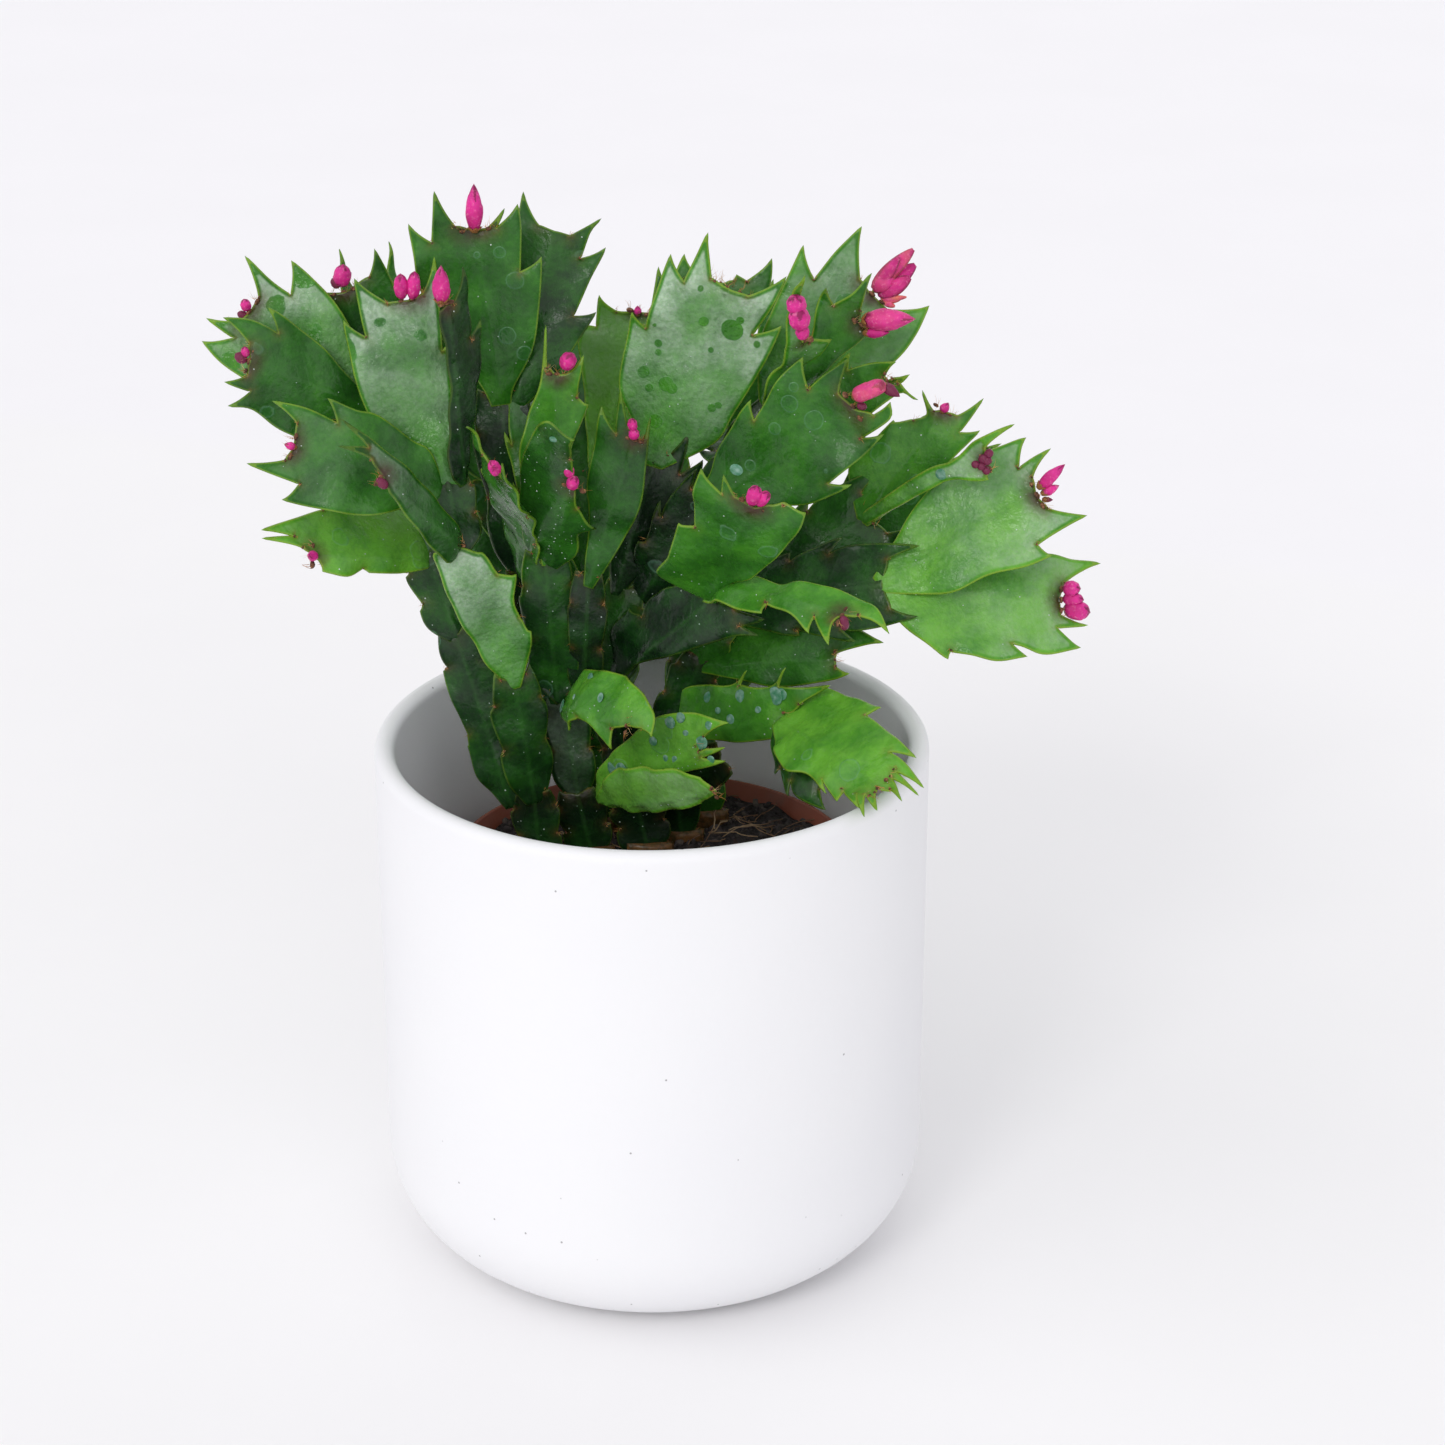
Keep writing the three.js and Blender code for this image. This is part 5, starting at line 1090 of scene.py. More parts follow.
def padLayers(flat, gap, notches, frameOfPad, look):
    # what the material reads: the place on the pad with its scars, and the pad's own look
    width, length = frameOfPad["width"], frameOfPad["length"]
    x, y = flat[:, 0], flat[:, 1]
    away = np.min([np.full(len(flat), length)] + [np.linalg.norm(flat - n, axis=1) for n in notches], axis=0)
    scars = np.clip(np.exp(-away / padMark["notchReach"]), 0, 1)
    endGap = np.hypot(x / (padMark["tintWidth"] * width), (y - midribEnd * length) / padMark["tintLength"])
    endTint = np.clip(padMark["tintEdge"] - endGap, 0, 1) * look["endTint"]
    shade = (x / padMark["across"] + 0.5, y / padMark["along"], np.clip(gap / padMark["deepest"], 0, 1), scars)
    manner = (np.full(len(flat), look["tone"]), np.full(len(flat), look["bloom"]), endTint,
              np.full(len(flat), look["spots"]))
    return dict(padPlace=np.stack(shade, axis=1), padLook=np.stack(manner, axis=1))


def padMesh(name, frameOfPad, bend, seed, look):
    draw = randomFrom(seed)
    width, length = frameOfPad["width"], frameOfPad["length"]
    halves, notches, tips = [], [], []
    hook = tooth["seenHook"] if name in seenOutlines else tooth["hook"]
    for hand, points in outlineOf(name, bend, frameOfPad, draw):
        path, halfNotches, halfTips = smoothHalf(points, width, length, hook, pad["edgeStep"], draw)
        mirror = np.array([hand, 1])
        halves.append(path * mirror)
        notches += [p * mirror for p in halfNotches]
        tips += [(tip * mirror, base * mirror, lift) for tip, base, lift in halfTips]
    loop = np.concatenate([halves[0], [[0, midribEnd * length]], halves[1][::-1]])
    corners = [Vector(p) for p in np.concatenate([loop, padField(loop, width, length)])]
    made = delaunay_2d_cdt(corners, [], [list(range(len(loop)))], 1, 1e-4)
    flat = np.array([tuple(p) for p in made[0]])
    triangles = np.array([f if signedArea(flat, f) > 0 else f[::-1] for f in made[2]])

    gap = edgeDistance(flat, loop)[0]
    x, y = flat[:, 0], flat[:, 1]
    thick = pad["margin"] + (pad["body"] - pad["margin"]) * (1 - np.exp(-gap / pad["marginRise"]))
    full, loss, least = pad["ridgeTaper"]
    taper = np.clip(full - loss * np.clip(y / length, 0, 1.2), least, 1) * np.clip(gap / pad["ridgeFade"], 0, 1)
    ridge = pad["ridge"] * np.exp(-(x / pad["ridgeWidth"]) ** 2) * taper
    lift = padLift(name, flat, gap, frameOfPad, tips, seed)

    # both faces, and between them a row that rounds the margin
    count = len(flat)
    rim, border, push = marginOf(flat, triangles)
    slot = {v: 2 * count + i for i, v in enumerate(border)}
    outer = flat[border] + push[border] * pad["roundness"]
    place = frameOfPad["place"]
    upper = place(x / (width / 2), y / length, lift + thick + ridge)
    lower = place(x / (width / 2), y / length, lift - thick - ridge * pad["underRidge"])
    middle = place(outer[:, 0] / (width / 2), outer[:, 1] / length, lift[border])
    faces = [tuple(t) for t in triangles] + [tuple(t[::-1] + count) for t in triangles]
    for a, b in rim:
        faces += [(b, a, slot[a], slot[b]), (slot[b], slot[a], a + count, b + count)]
    layers = {key: np.concatenate([values, values, values[border]])
              for key, values in padLayers(flat, gap, notches, frameOfPad, look).items()}
    return dict(points=np.concatenate([upper, lower, middle]), faces=faces, layers=layers,
                notches=notches, gap=gap, flat=flat, lift=lift, thick=thick + ridge)


def signedArea(flat, face):
    a, b, c = (flat[i] for i in face)
    return (b[0] - a[0]) * (c[1] - a[1]) - (b[1] - a[1]) * (c[0] - a[0])


def footMesh(stem):
    # the woody foot: an oval stub that stands in the soil and narrows under the first pad
    x, y = stem["foot"]
    sides, rings = foot["sides"], foot["rings"]
    turns = np.arange(sides) * 2 * math.pi / sides
    heights = np.linspace(soil["top"] - foot["depth"], soil["top"] + foot["rise"], rings + 1)
    points = []
    for ring, z in enumerate(heights):
        narrowed = 1 - foot["narrowing"] * (ring / rings) ** 2
        swell = narrowed * (1 + foot["fluting"] * np.sin(turns * foot["flutes"] + ring * 0.5))
        points += [(x + stem["width"] / 2 * s * math.cos(t), y + foot["halfThickness"] * s * math.sin(t), z)
                   for t, s in zip(turns, swell)]
    faces = ringFaces(sides, 0, rings)
    faces += [tuple(range(sides))[::-1], tuple(range(len(points) - sides, len(points)))]
    layers = dict(padPlace=np.tile((0.5, 0, 1, 1), (len(points), 1)),
                  padLook=np.tile((0.02, 0, 0.6, 0), (len(points), 1)))
    return dict(points=np.array(points), faces=faces, layers=layers)


def driedMarks(tree, place, spots):
    # how far inside the nearest listed dried drop a point lies, in mm
    waver = mottled(tree, place, 260, 1, -driedDrop["waver"], driedDrop["waver"])
    deepest = None
    for point, radius in spots:
        away = addNode(tree, "ShaderNodeVectorMath", {0: place, 1: tuple(point * mm)}, operation="DISTANCE")
        depth = calc(tree, "MULTIPLY_ADD", away.outputs[1], -1 / mm, radius)
        deepest = calc(tree, "MAXIMUM", deepest, depth) if deepest else depth
    return calc(tree, "ADD", deepest, waver)


padColours = dict(
    greens=[(0.0, (0.003, 0.015, 0.004)), (0.2, (0.007, 0.045, 0.006)), (0.5, (0.023, 0.13, 0.009)),
            (0.75, (0.055, 0.235, 0.016)), (1.0, (0.13, 0.39, 0.03))],
    # the bloom colour is partly real wax and partly a painted sheen
    midrib=(0.05, 0.19, 0.03), vein=(0.04, 0.17, 0.03), dried=(0.16, 0.34, 0.22), bloom=(0.44, 0.57, 0.43),
    end=(0.06, 0.02, 0.018), scar=(0.16, 0.075, 0.025), margin=(0.22, 0.36, 0.03),
)


def padPaint(tree, place):
    acrossShare, alongShare, gapShare, scar = channels(tree, "padPlace")
    tone, bloom, endTint, spots = channels(tree, "padLook")
    fromSide = calc(tree, "MULTIPLY_ADD", acrossShare, padMark["across"], -padMark["across"] / 2)
    across = calc(tree, "ABSOLUTE", fromSide)
    along = calc(tree, "MULTIPLY", alongShare, padMark["along"])
    gap = calc(tree, "MULTIPLY", gapShare, padMark["deepest"])
    fine = noiseOf(tree, place, 620, 4, 0.6)
    tone = calc(tree, "ADD", tone, mottled(tree, place, 95, 3, -0.13, 0.13))
    tone = calc(tree, "ADD", tone, remap(tree, fine, 0.3, 0.7, -0.05, 0.05))
    colour = rampOf(tree, tone, padColours["greens"])
    rib = remap(tree, across, 0.9, 0.1)
    colour = mixed(tree, product(tree, rib, 0.14), colour, padColours["midrib"])
    # side veins leave the midrib at a slant, toward each notch
    phase = calc(tree, "MULTIPLY_ADD", across, -0.075, product(tree, along, 0.11))
    vein = remap(tree, calc(tree, "PINGPONG", phase, 0.5), 0.07, 0.0)
    colour = mixed(tree, product(tree, vein, 0.05), colour, padColours["vein"])

    # dried drops: round marks of many sizes that interrupt the pale bloom and its painted sheen
    cells = addNode(tree, "ShaderNodeTexVoronoi", {"Vector": place, "Scale": 105, "Randomness": 1.0})
    pick = addNode(tree, "ShaderNodeSeparateColor", {0: cells.outputs["Color"]})
    radius = calc(tree, "MULTIPLY_ADD", pick.outputs[1], 0.3, 0.12)
    warp = mottled(tree, place, 300, 2, -0.03, 0.03)
    depth = calc(tree, "SUBTRACT", radius, calc(tree, "ADD", cells.outputs["Distance"], warp))
    chosen = calc(tree, "LESS_THAN", pick.outputs[0], spots)
    strewn = product(tree, remap(tree, depth, -0.01, 0.025), chosen)
    placed = driedMarks(tree, place, driedSpots)
    rimWidth = driedDrop["rimWidth"]
    dried = calc(tree, "MAXIMUM", strewn, remap(tree, placed, -driedDrop["softness"], driedDrop["softness"]))
    placedRing = product(tree, remap(tree, placed, rimWidth, 0.0), remap(tree, placed, -rimWidth, 0.0))
    ring = calc(tree, "MAXIMUM", product(tree, remap(tree, depth, 0.07, 0.02), strewn), placedRing)
    bare = calc(tree, "SUBTRACT", 1.0, product(tree, bloom, 0.9))
    damp = product(tree, calc(tree, "MULTIPLY_ADD", dried, 0.07, product(tree, ring, 0.22)), bare)
    colour = mixed(tree, damp, colour, padColours["dried"])

    # the bloom, partly real wax and partly a painted sheen, is thickest toward the teeth, grows toward the
    # pad's end as a painted highlight, and breaks up into fine crinkles
    crinkle = remap(tree, noiseOf(tree, place, 900, 2, 0.5), 0.38, 0.62, 0.72, 1)
    patches = remap(tree, noiseOf(tree, place, 75, 3, 0.55), 0.36, 0.6, 0.35, 1)
    outer = product(tree, remap(tree, gap, 5.6, 1.5, 0.7, 1), remap(tree, along, 8, 44, 0.3, 1.55))
    waxAndPaintedSheen = product(tree, patches, crinkle, bloom, calc(tree, "SUBTRACT", 1.0, dried), outer,
                   remap(tree, gap, 0.5, 1.1))
    colour = mixed(tree, product(tree, waxAndPaintedSheen, 0.72), colour, padColours["bloom"])

    tintShare = product(tree, endTint, remap(tree, noiseOf(tree, place, 260, 4), 0.25, 0.6, 0.45, 1))
    colour = mixed(tree, tintShare, colour, padColours["end"])
    scarShare = product(tree, scar, remap(tree, fine, 0.35, 0.6, 0.2, 0.9))
    colour = mixed(tree, scarShare, colour, padColours["scar"])
    rim = product(tree, remap(tree, gap, 0.3, 0.0), remap(tree, tone, 0.05, 0.8, 0.1, 0.75))
    colour = mixed(tree, rim, colour, padColours["margin"])

    roughness = calc(tree, "MULTIPLY_ADD", dried, -0.1, mottled(tree, place, 140, 3, 0.2, 0.34))
    wrinkles = noiseOf(tree, place, 700, 2, 0.5)
    wrinkled = calc(tree, "MULTIPLY_ADD", bloom, 1.2, 0.6)
    height = calc(tree, "MULTIPLY_ADD", wrinkles, wrinkled, product(tree, dried, 0.3))
    height = calc(tree, "MULTIPLY_ADD", noiseOf(tree, place, 150, 2), 1.6, height)
    ridges = calc(tree, "ADD", product(tree, vein, 0.5), product(tree, rib, 0.6))
    return {"Base Color": colour, "Roughness": roughness, "Specular IOR Level": 0.27, "Subsurface Weight": 0.1,
            "Subsurface Radius": (0.25, 0.8, 0.1), "Subsurface Scale": 0.0014,
            "Normal": bumped(tree, height, 0.5, 0.0006, bumped(tree, ridges, 0.1, 0.0006))}


def layOutPads():
    # every pad starts a little inside the end of the one that it grows from
    frames = {}
    for stem in stems.values():
        grown = {}
        for name, parentName, end, width, bend in stem["pads"]:
            start = np.array([*stem["foot"], soil["top"]], dtype=float)
            parent = frames.get(parentName)
            rank = grown.get(parentName, 0)
            grown[parentName] = rank + 1
            if parent:
                start = parent["tip"] - parent["endDirection"] * (pad["sink"] + rank * pad["siblingStep"])
                start = start + parent["side"] * (bend.get("slip", 0) + rank * pad["siblingStep"])
            frames[name] = padFrame(start, seen(*end), width, bend)
    return frames


def growStems():
    material = surfaceMaterial("waxyPad", padPaint)
    details = []
    for order, (stemName, stem) in enumerate(stems.items()):
        meshes = [footMesh(stem)]
        for i, (name, *_, bend) in enumerate(stem["pads"]):
            look = dict(tone=padTonesWithPaintedLight.get(name, usualPad["tone"]), bloom=padBloomAndSheen.get(name, usualPad["bloom"]),
                        spots=padSpots.get(name, usualPad["spots"]),
                        endTint=usualPad["buddedEndTint" if name in buddedPads else "endTint"])
            mesh = padMesh(name, frames[name], bend, 100 * (order + 1) + i, look)
            meshes.append(mesh)
            details.append((name, frames[name], mesh))
        piece = joinedPiece(stemName.replace("stem", "pads"), meshes, material)
        settle(piece, "cactus_green", stemName)
        print(stemName, "grown:", len(meshes) - 1, "pads,", len(piece.data.polygons), "faces")
    return details


frames = layOutPads()
driedSpots = [(frames[name]["place"](*placeSeenAt(frames[name], (x, h)), pad["body"]), radius)
              for name, spots in driedDrops.items() for x, h, radius in spots]

# Every pad that carries buds, in the order of their random draws
buddedPads = ("a11 a10 a16 a6 a7 a8 a14 a4 b6 b10 b4 b11 b13 e13 c15 c13 c14 c11 c4 c5 "
              "d12 d13 d10 d11 e5 e9 e12 f5 f9 f10").split()
# The small buds that the photograph hardly shows, each (lean along the pad's end, lean toward the viewer,
# length, width) in degrees and mm
plainBuds = dict(
    a8=[(0, 10, 3, 2)],
    a14=[(-8, 40, 4, 2.6)],
    b4=[(-20, 0, 3.6, 3), (20, 10, 3.6, 3)],
    e13=[(-15, 0, 2.6, 2)],
    d13=[(0, 0, 3, 2.4)],
    e5=[(0, 0, 6, 3.4)],
    e9=[(0, 0, 5, 3.2)],
    e12=[(-15, 0, 6, 3.4), (20, 0, 5, 3.2)],
    f5=[(0, 0, 5, 3.4)],
    f9=[(-15, 0, 7, 3.6), (20, 0, 5, 3.2)],
    f10=[(0, 0, 6, 3.4)],
)
budShape = dict(sunk=0.5, rings=30, sides=30, bunching=0.9, endRound=0.06, steps=60, smoothing=7, footLean=0.3,
                seed=500, profiles=dict(
    spindle=[(0, 0), (0.2, 0.03), (0.36, 0.12), (0.47, 0.28), (0.5, 0.42), (0.44, 0.6), (0.31, 0.77),
             (0.17, 0.89), (0.07, 0.96), (0, 1)],
    ball=[(0, 0), (0.26, 0.05), (0.43, 0.2), (0.5, 0.45), (0.47, 0.68), (0.33, 0.88), (0, 1)],
    tube=[(0, 0), (0.4, 0.04), (0.49, 0.16), (0.48, 0.6), (0.44, 0.85), (0.3, 0.97), (0, 1)],
))
# Scales wind up a bud by the golden angle: each (first, per scale) start, end, half width and height
budScale = dict(count=13, turn=2.39996, start=(0.02, 0.042), end=(0.4, 0.055), halfWidth=(0.95, 0.02),
                height=(1, 0.03), foot=0.35, doming=0.4, lift=0.09, rise=2.2)
# The buds that the photograph shows best, each from its start to its tip as they are seen:
# (x, h, x, h, width, how far it leans toward the eye, shape, freshness, warmth)
fresh, dull = 1.0, 0.5
seenBuds = dict(
    a4=[(-67, 62.4, -69.8, 64.8, 2.4, 1, "ball", dull, 0)],
    a6=[(-63.4, 110, -63.8, 116.8, 3.5, 0, "ball", fresh, 0),
        (-60.6, 109.8, -60.2, 117.4, 3.3, 0, "ball", fresh, 0)],
    a7=[(-53.5, 109, -53.6, 119, 4.3, 0, "spindle", fresh, 0)],
    a10=[(-102.6, 94.2, -105.6, 96.4, 2.6, 0, "ball", dull, 0),
         (-102.6, 95.4, -103.4, 98.2, 2, 0, "ball", fresh, 0)],
    a11=[(-102.2, 107, -103.4, 110.2, 2.6, 0, "ball", fresh, 0),
         (-102.2, 105.6, -105, 106.6, 2, 0, "ball", dull, 0)],
    a16=[(-78.6, 113, -78.1, 119, 4.4, 0, "ball", fresh, 0),
         (-79.2, 112.8, -81, 115.4, 2.2, 0, "ball", dull, 0)],
    b6=[(-45, 127.2, -45.2, 139.6, 4.3, 0, "spindle", fresh, 0)],
    b10=[(-22.2, 92.4, -20.4, 96.6, 4, 2, "ball", fresh, 0)],
    b11=[(-20.6, 62, -19.6, 65.4, 3, 1.5, "ball", fresh, 0),
         (-20.6, 65, -21.6, 68.4, 2.6, 1, "ball", fresh, 0)],
    b13=[(-4.6, 74.6, -4.6, 77.4, 2.6, 1, "ball", fresh, 0), (-4.8, 76.8, -5.2, 80, 2.4, 1, "ball", fresh, 0)],
    c4=[(25, 58, 26.6, 63, 3.6, 2.4, "ball", fresh, 0), (26.4, 58, 29.6, 61.4, 3, 2, "ball", fresh, 0)],
    c5=[(48.8, 26.4, 48.2, 30, 2.4, 1.4, "ball", dull, 0)],
    c11=[(50.8, 85.4, 59.2, 88.9, 4.2, 3, "tube", fresh, 0.35),
         (58, 88.7, 62.8, 85.5, 2.8, 3, "spindle", dull, 0),
         (51.8, 83.6, 54.4, 82.6, 2, 1, "ball", dull, 1)],
    c14=[(53.2, 104.8, 66.8, 105.2, 5.5, 5, "spindle", fresh, 0.15),
         (53.6, 101.6, 60.2, 101.8, 2.6, 4, "spindle", fresh, 0)],
    c15=[(38.2, 100.4, 37.9, 103.7, 3.3, 3, "ball", fresh, 0), (37.8, 103, 36.8, 108, 5, 4, "ball", fresh, 0),
         (36.9, 107, 36.2, 111.2, 4.6, 4, "ball", fresh, 0)],
    d10=[(97.6, 62.3, 104.5, 68.4, 3.1, 0, "spindle", fresh, 0),
         (98.5, 60.8, 103, 63, 2.4, 0, "spindle", fresh, 0),
         (98.8, 59.4, 101.4, 59.3, 1.3, 0, "spindle", dull, 0)],
    d11=[(103.6, 37, 108.4, 36.8, 3.8, 1, "ball", fresh, 0), (103.6, 34.4, 109.2, 34, 3.4, 1, "ball", fresh, 0),
         (103.8, 32, 110.8, 30.8, 5, 1, "ball", fresh, 0)],
    d12=[(84.4, 70.4, 86, 71.8, 2.2, 1.5, "ball", dull, 0), (83.4, 69.6, 86, 69, 2.3, 1.5, "ball", dull, 0),
         (82.8, 69, 84.6, 70.6, 2, 1.5, "ball", dull, 0), (82.6, 68.6, 84, 67, 2.1, 1.5, "ball", dull, 0),
         (83.8, 67.6, 85.2, 65.8, 1.9, 1.5, "ball", dull, 0),
         (80.8, 68.2, 82.8, 68.4, 1.9, 1.5, "ball", dull, 0)],
)
# The opening flower as it is seen, its petals and the bud in its heart: (x, h, x, h, width, warmth)
seenPetals = dict(
    c13=[(55.8, 113, 66.2, 122.8, 4.2, 0.35), (57, 111.6, 66.6, 118.8, 5, 0),
         (57.4, 111, 65.4, 115.6, 4.4, 0.1), (56.4, 112.4, 62.6, 121, 3.4, 0.2),
         (57.8, 110.4, 62.8, 110, 2.4, 0.6), (58.4, 110, 64.4, 110.6, 1.5, 1),
         (58.2, 109.6, 61.4, 108.2, 1.7, 0.8)],
)
flowerHearts = dict(c13=(56, 111.8, 62, 117.6, 4.4, 0.2))
# How far before the pad's end the buds stand
budForward = dict(c15=10, c14=1)
flower = dict(lean=(-1.5, 2.5), spread=0.02, hook=0.05)
calyx = dict(scales=5, length=1.6, width=1.5, sunk=0.2, apart=0.08, spread=0.22, hook=0.2, rows=5, columns=5)
# A petal: half its thickness, how hollow it is, how far its foot stands off in shares of its size, and the
# curve of its sides
petalShape = dict(thin=0.22, hollow=0.55, standOff=0.06, swellFrom=0.08, swellTurn=0.94, swellLow=0.8,
                  swellFull=0.65, rows=14, columns=9)


def budScales(v, turns, spin):
    # shingled scales: each rises toward its own free tip
    relief = np.zeros((len(v), len(turns)))
    widest, narrowing = budScale["halfWidth"]
    highest, lowering = budScale["height"]
    for k in range(budScale["count"]):
        low, high = (first + each * k for first, each in (budScale["start"], budScale["end"]))
        t = np.clip((v - low) / (high - low), 0, 1)
        halfWidth = widest * np.sqrt(np.clip(1 - t ** 2.2, 0, 1)) * (1 - narrowing * k)
        turnGap = np.abs((turns - spin - k * budScale["turn"] + math.pi) % (2 * math.pi) - math.pi)
        inside = (turnGap[None] < halfWidth[:, None]) & (v >= low)[:, None] & (v <= high)[:, None]
        domed = 1 - budScale["doming"] * (turnGap[None] / np.maximum(halfWidth[:, None], 0.05)) ** 2
        raised = (budScale["foot"] + (1 - budScale["foot"]) * t[:, None]) * domed
        relief = np.maximum(relief, np.where(inside, raised * (highest - lowering * k), 0))
    return relief


def budLayer(along, edge, warm, fresh):
    return dict(budPlace=np.stack([along, edge, np.full(len(along), warm), np.full(len(along), fresh)], axis=1))


def budBody(start, direction, sideways, length, width, generator, shape="spindle", fresh=1.0, warm=0.0):
    # a plump pointed body in scales
    rings, sides = budShape["rings"], budShape["sides"]
    profileRadius, profileV = zip(*budShape["profiles"][shape])
    v = np.linspace(0, 1, rings + 1) ** budShape["bunching"]
    turns = np.arange(sides) * 2 * math.pi / sides
    fineV = np.linspace(0, 1, budShape["steps"])
    window = budShape["smoothing"]
    padded = np.pad(np.interp(fineV, profileV, profileRadius), window // 2, mode="edge")
    smooth = np.convolve(padded, np.ones(window) / window, "valid")
    ends = np.clip(np.minimum(v, 1 - v) / budShape["endRound"], 0, 1) ** 0.5
    relief = budScales(v, turns, generator.uniform(0, 6.28))
    lift = budScale["lift"]
    scaled = 1 - lift + budScale["rise"] * lift * relief
    radius = (np.interp(v, fineV, smooth) * ends)[:, None] * width * scaled
    spokes = np.multiply.outer(np.cos(turns), sideways) \
        + np.multiply.outer(np.sin(turns), np.cross(direction, sideways))
    points = start + np.multiply.outer(v * length, direction)[:, None, :] + radius[..., None] * spokes[None]
    # the first and last ring are left out, and one point closes each end
    kept = points[1:rings].reshape(-1, 3)
    base, top = len(kept), len(kept) + 1
    faces = ringFaces(sides, 0, rings - 2)
    faces += fanFaces(sides, 0, base, under=True) + fanFaces(sides, base - sides, top)
    return dict(points=np.vstack([kept, [start], [start + direction * length]]), faces=faces,
                layers=budLayer(np.append(np.repeat(v[1:rings], sides), (0, 1)),
                                np.append(relief[1:rings].reshape(-1), (0, 1)), warm, fresh))


def petal(start, direction, outward, length, width, spread, hook, warm=1.0, fresh=1.0,
          rows=petalShape["rows"], columns=petalShape["columns"]):
    # one boat-shaped petal with some thickness: it leaves the middle, swells, and its tip hooks
    v = np.linspace(0, 1, rows)
    u = np.linspace(-1, 1, columns)
    sideways = np.cross(direction, outward)
    swell = v ** petalShape["swellLow"] * math.pi * petalShape["swellTurn"] + petalShape["swellFrom"]
    half = width / 2 * np.sin(swell) ** petalShape["swellFull"]
    away = length * (petalShape["standOff"] + spread * v - hook * v ** 2 * 0.5)
    middle = start + np.multiply.outer(v * length, direction) + np.multiply.outer(away, outward)
    hollow = -petalShape["hollow"] * np.multiply.outer(half, u ** 2)
    face = middle[:, None] + np.multiply.outer(np.multiply.outer(half, u), sideways) \
        + hollow[..., None] * outward
    thin = outward * petalShape["thin"]
    points = np.concatenate([(face + thin).reshape(-1, 3), (face - thin).reshape(-1, 3)])
    size = rows * columns
    faces = []
    for j in range(rows - 1):
        for i in range(columns - 1):
            a = j * columns + i
            faces += [(a, a + 1, a + columns + 1, a + columns),
                      (a + size, a + columns + size, a + columns + 1 + size, a + 1 + size)]
    grid = np.arange(size).reshape(rows, columns)
    ring = [*grid[0], *grid[1:, -1], *grid[-1, -2::-1], *grid[-2:0:-1, 0]]
    for a, b in zip(ring, ring[1:] + ring[:1]):
        faces.append((b, a, a + size, b + size))
    return dict(points=points, faces=faces, layers=budLayer(
        np.tile(np.repeat(v, columns), 2), np.tile(np.tile(1 - np.abs(u), rows), 2), warm, fresh))


budColours = dict(
    along=[(0.0, (0.3, 0.01, 0.1)), (0.25, (0.62, 0.018, 0.22)), (0.7, (0.76, 0.03, 0.31)),
           (1.0, (0.42, 0.01, 0.16))],
    # painted shade for the gaps between a bud's scales and the sides of its petals
    seam=(0.17, 0.004, 0.05), speckle=(0.9, 0.26, 0.48), cloud=(0.36, 0.008, 0.12), warm=(0.86, 0.25, 0.1),
    dull=(0.17, 0.02, 0.06), dry=(0.27, 0.11, 0.035),
)


def budPaint(tree, place):
    along, relief, warm, freshness = channels(tree, "budPlace")
    speckle = noiseOf(tree, place, 1300, 3, 0.6)
    cloud = noiseOf(tree, place, 240, 3)
    blush = product(tree, warm, remap(tree, noiseOf(tree, place, 420, 3), 0.35, 0.6, 0.35, 1), 0.75)
    colour = rampOf(tree, along, budColours["along"])
    # painted shade: darker in the gaps between the bud's scales and toward the petals' sides
    for share, name in ((remap(tree, relief, 0.4, 0.0, 0, 0.85), "seam"),
                        (remap(tree, speckle, 0.52, 0.72, 0, 0.5), "speckle"),
                        (remap(tree, cloud, 0.4, 0.65, 0, 0.4), "cloud"), (blush, "warm"),
                        (remap(tree, freshness, 0.95, 0.5), "dull"), (remap(tree, freshness, 0.4, 0.0), "dry")):
        colour = mixed(tree, share, colour, budColours[name])
    return {"Base Color": colour, "Roughness": remap(tree, cloud, 0.3, 0.7, 0.34, 0.52),
            "Specular IOR Level": 0.3, "Subsurface Weight": 0.15, "Subsurface Radius": (0.9, 0.2, 0.3),
            "Subsurface Scale": 0.001, "Normal": bumped(tree, speckle, 0.4, 0.0005)}


def budAxis(start, end):
    direction = end - start
    length = np.linalg.norm(direction)
    direction = direction / length
    sideways = np.cross(direction, towardEye)
    return length, direction, sideways / np.linalg.norm(sideways)


def calyxOf(start, direction, sideways, width):
    # short dry scales around the start of a bud
    flat = np.cross(direction, sideways)
    turns = np.arange(calyx["scales"]) * 2 * math.pi / calyx["scales"] + start[0]
    for turn in turns:
        outward = sideways * math.cos(turn) + flat * math.sin(turn)
        yield petal(start - direction * calyx["sunk"] + outward * width * calyx["apart"], direction, outward,
                    calyx["length"], calyx["width"], width * calyx["spread"], calyx["hook"], 0.0, 0.0,
                    calyx["rows"], calyx["columns"])


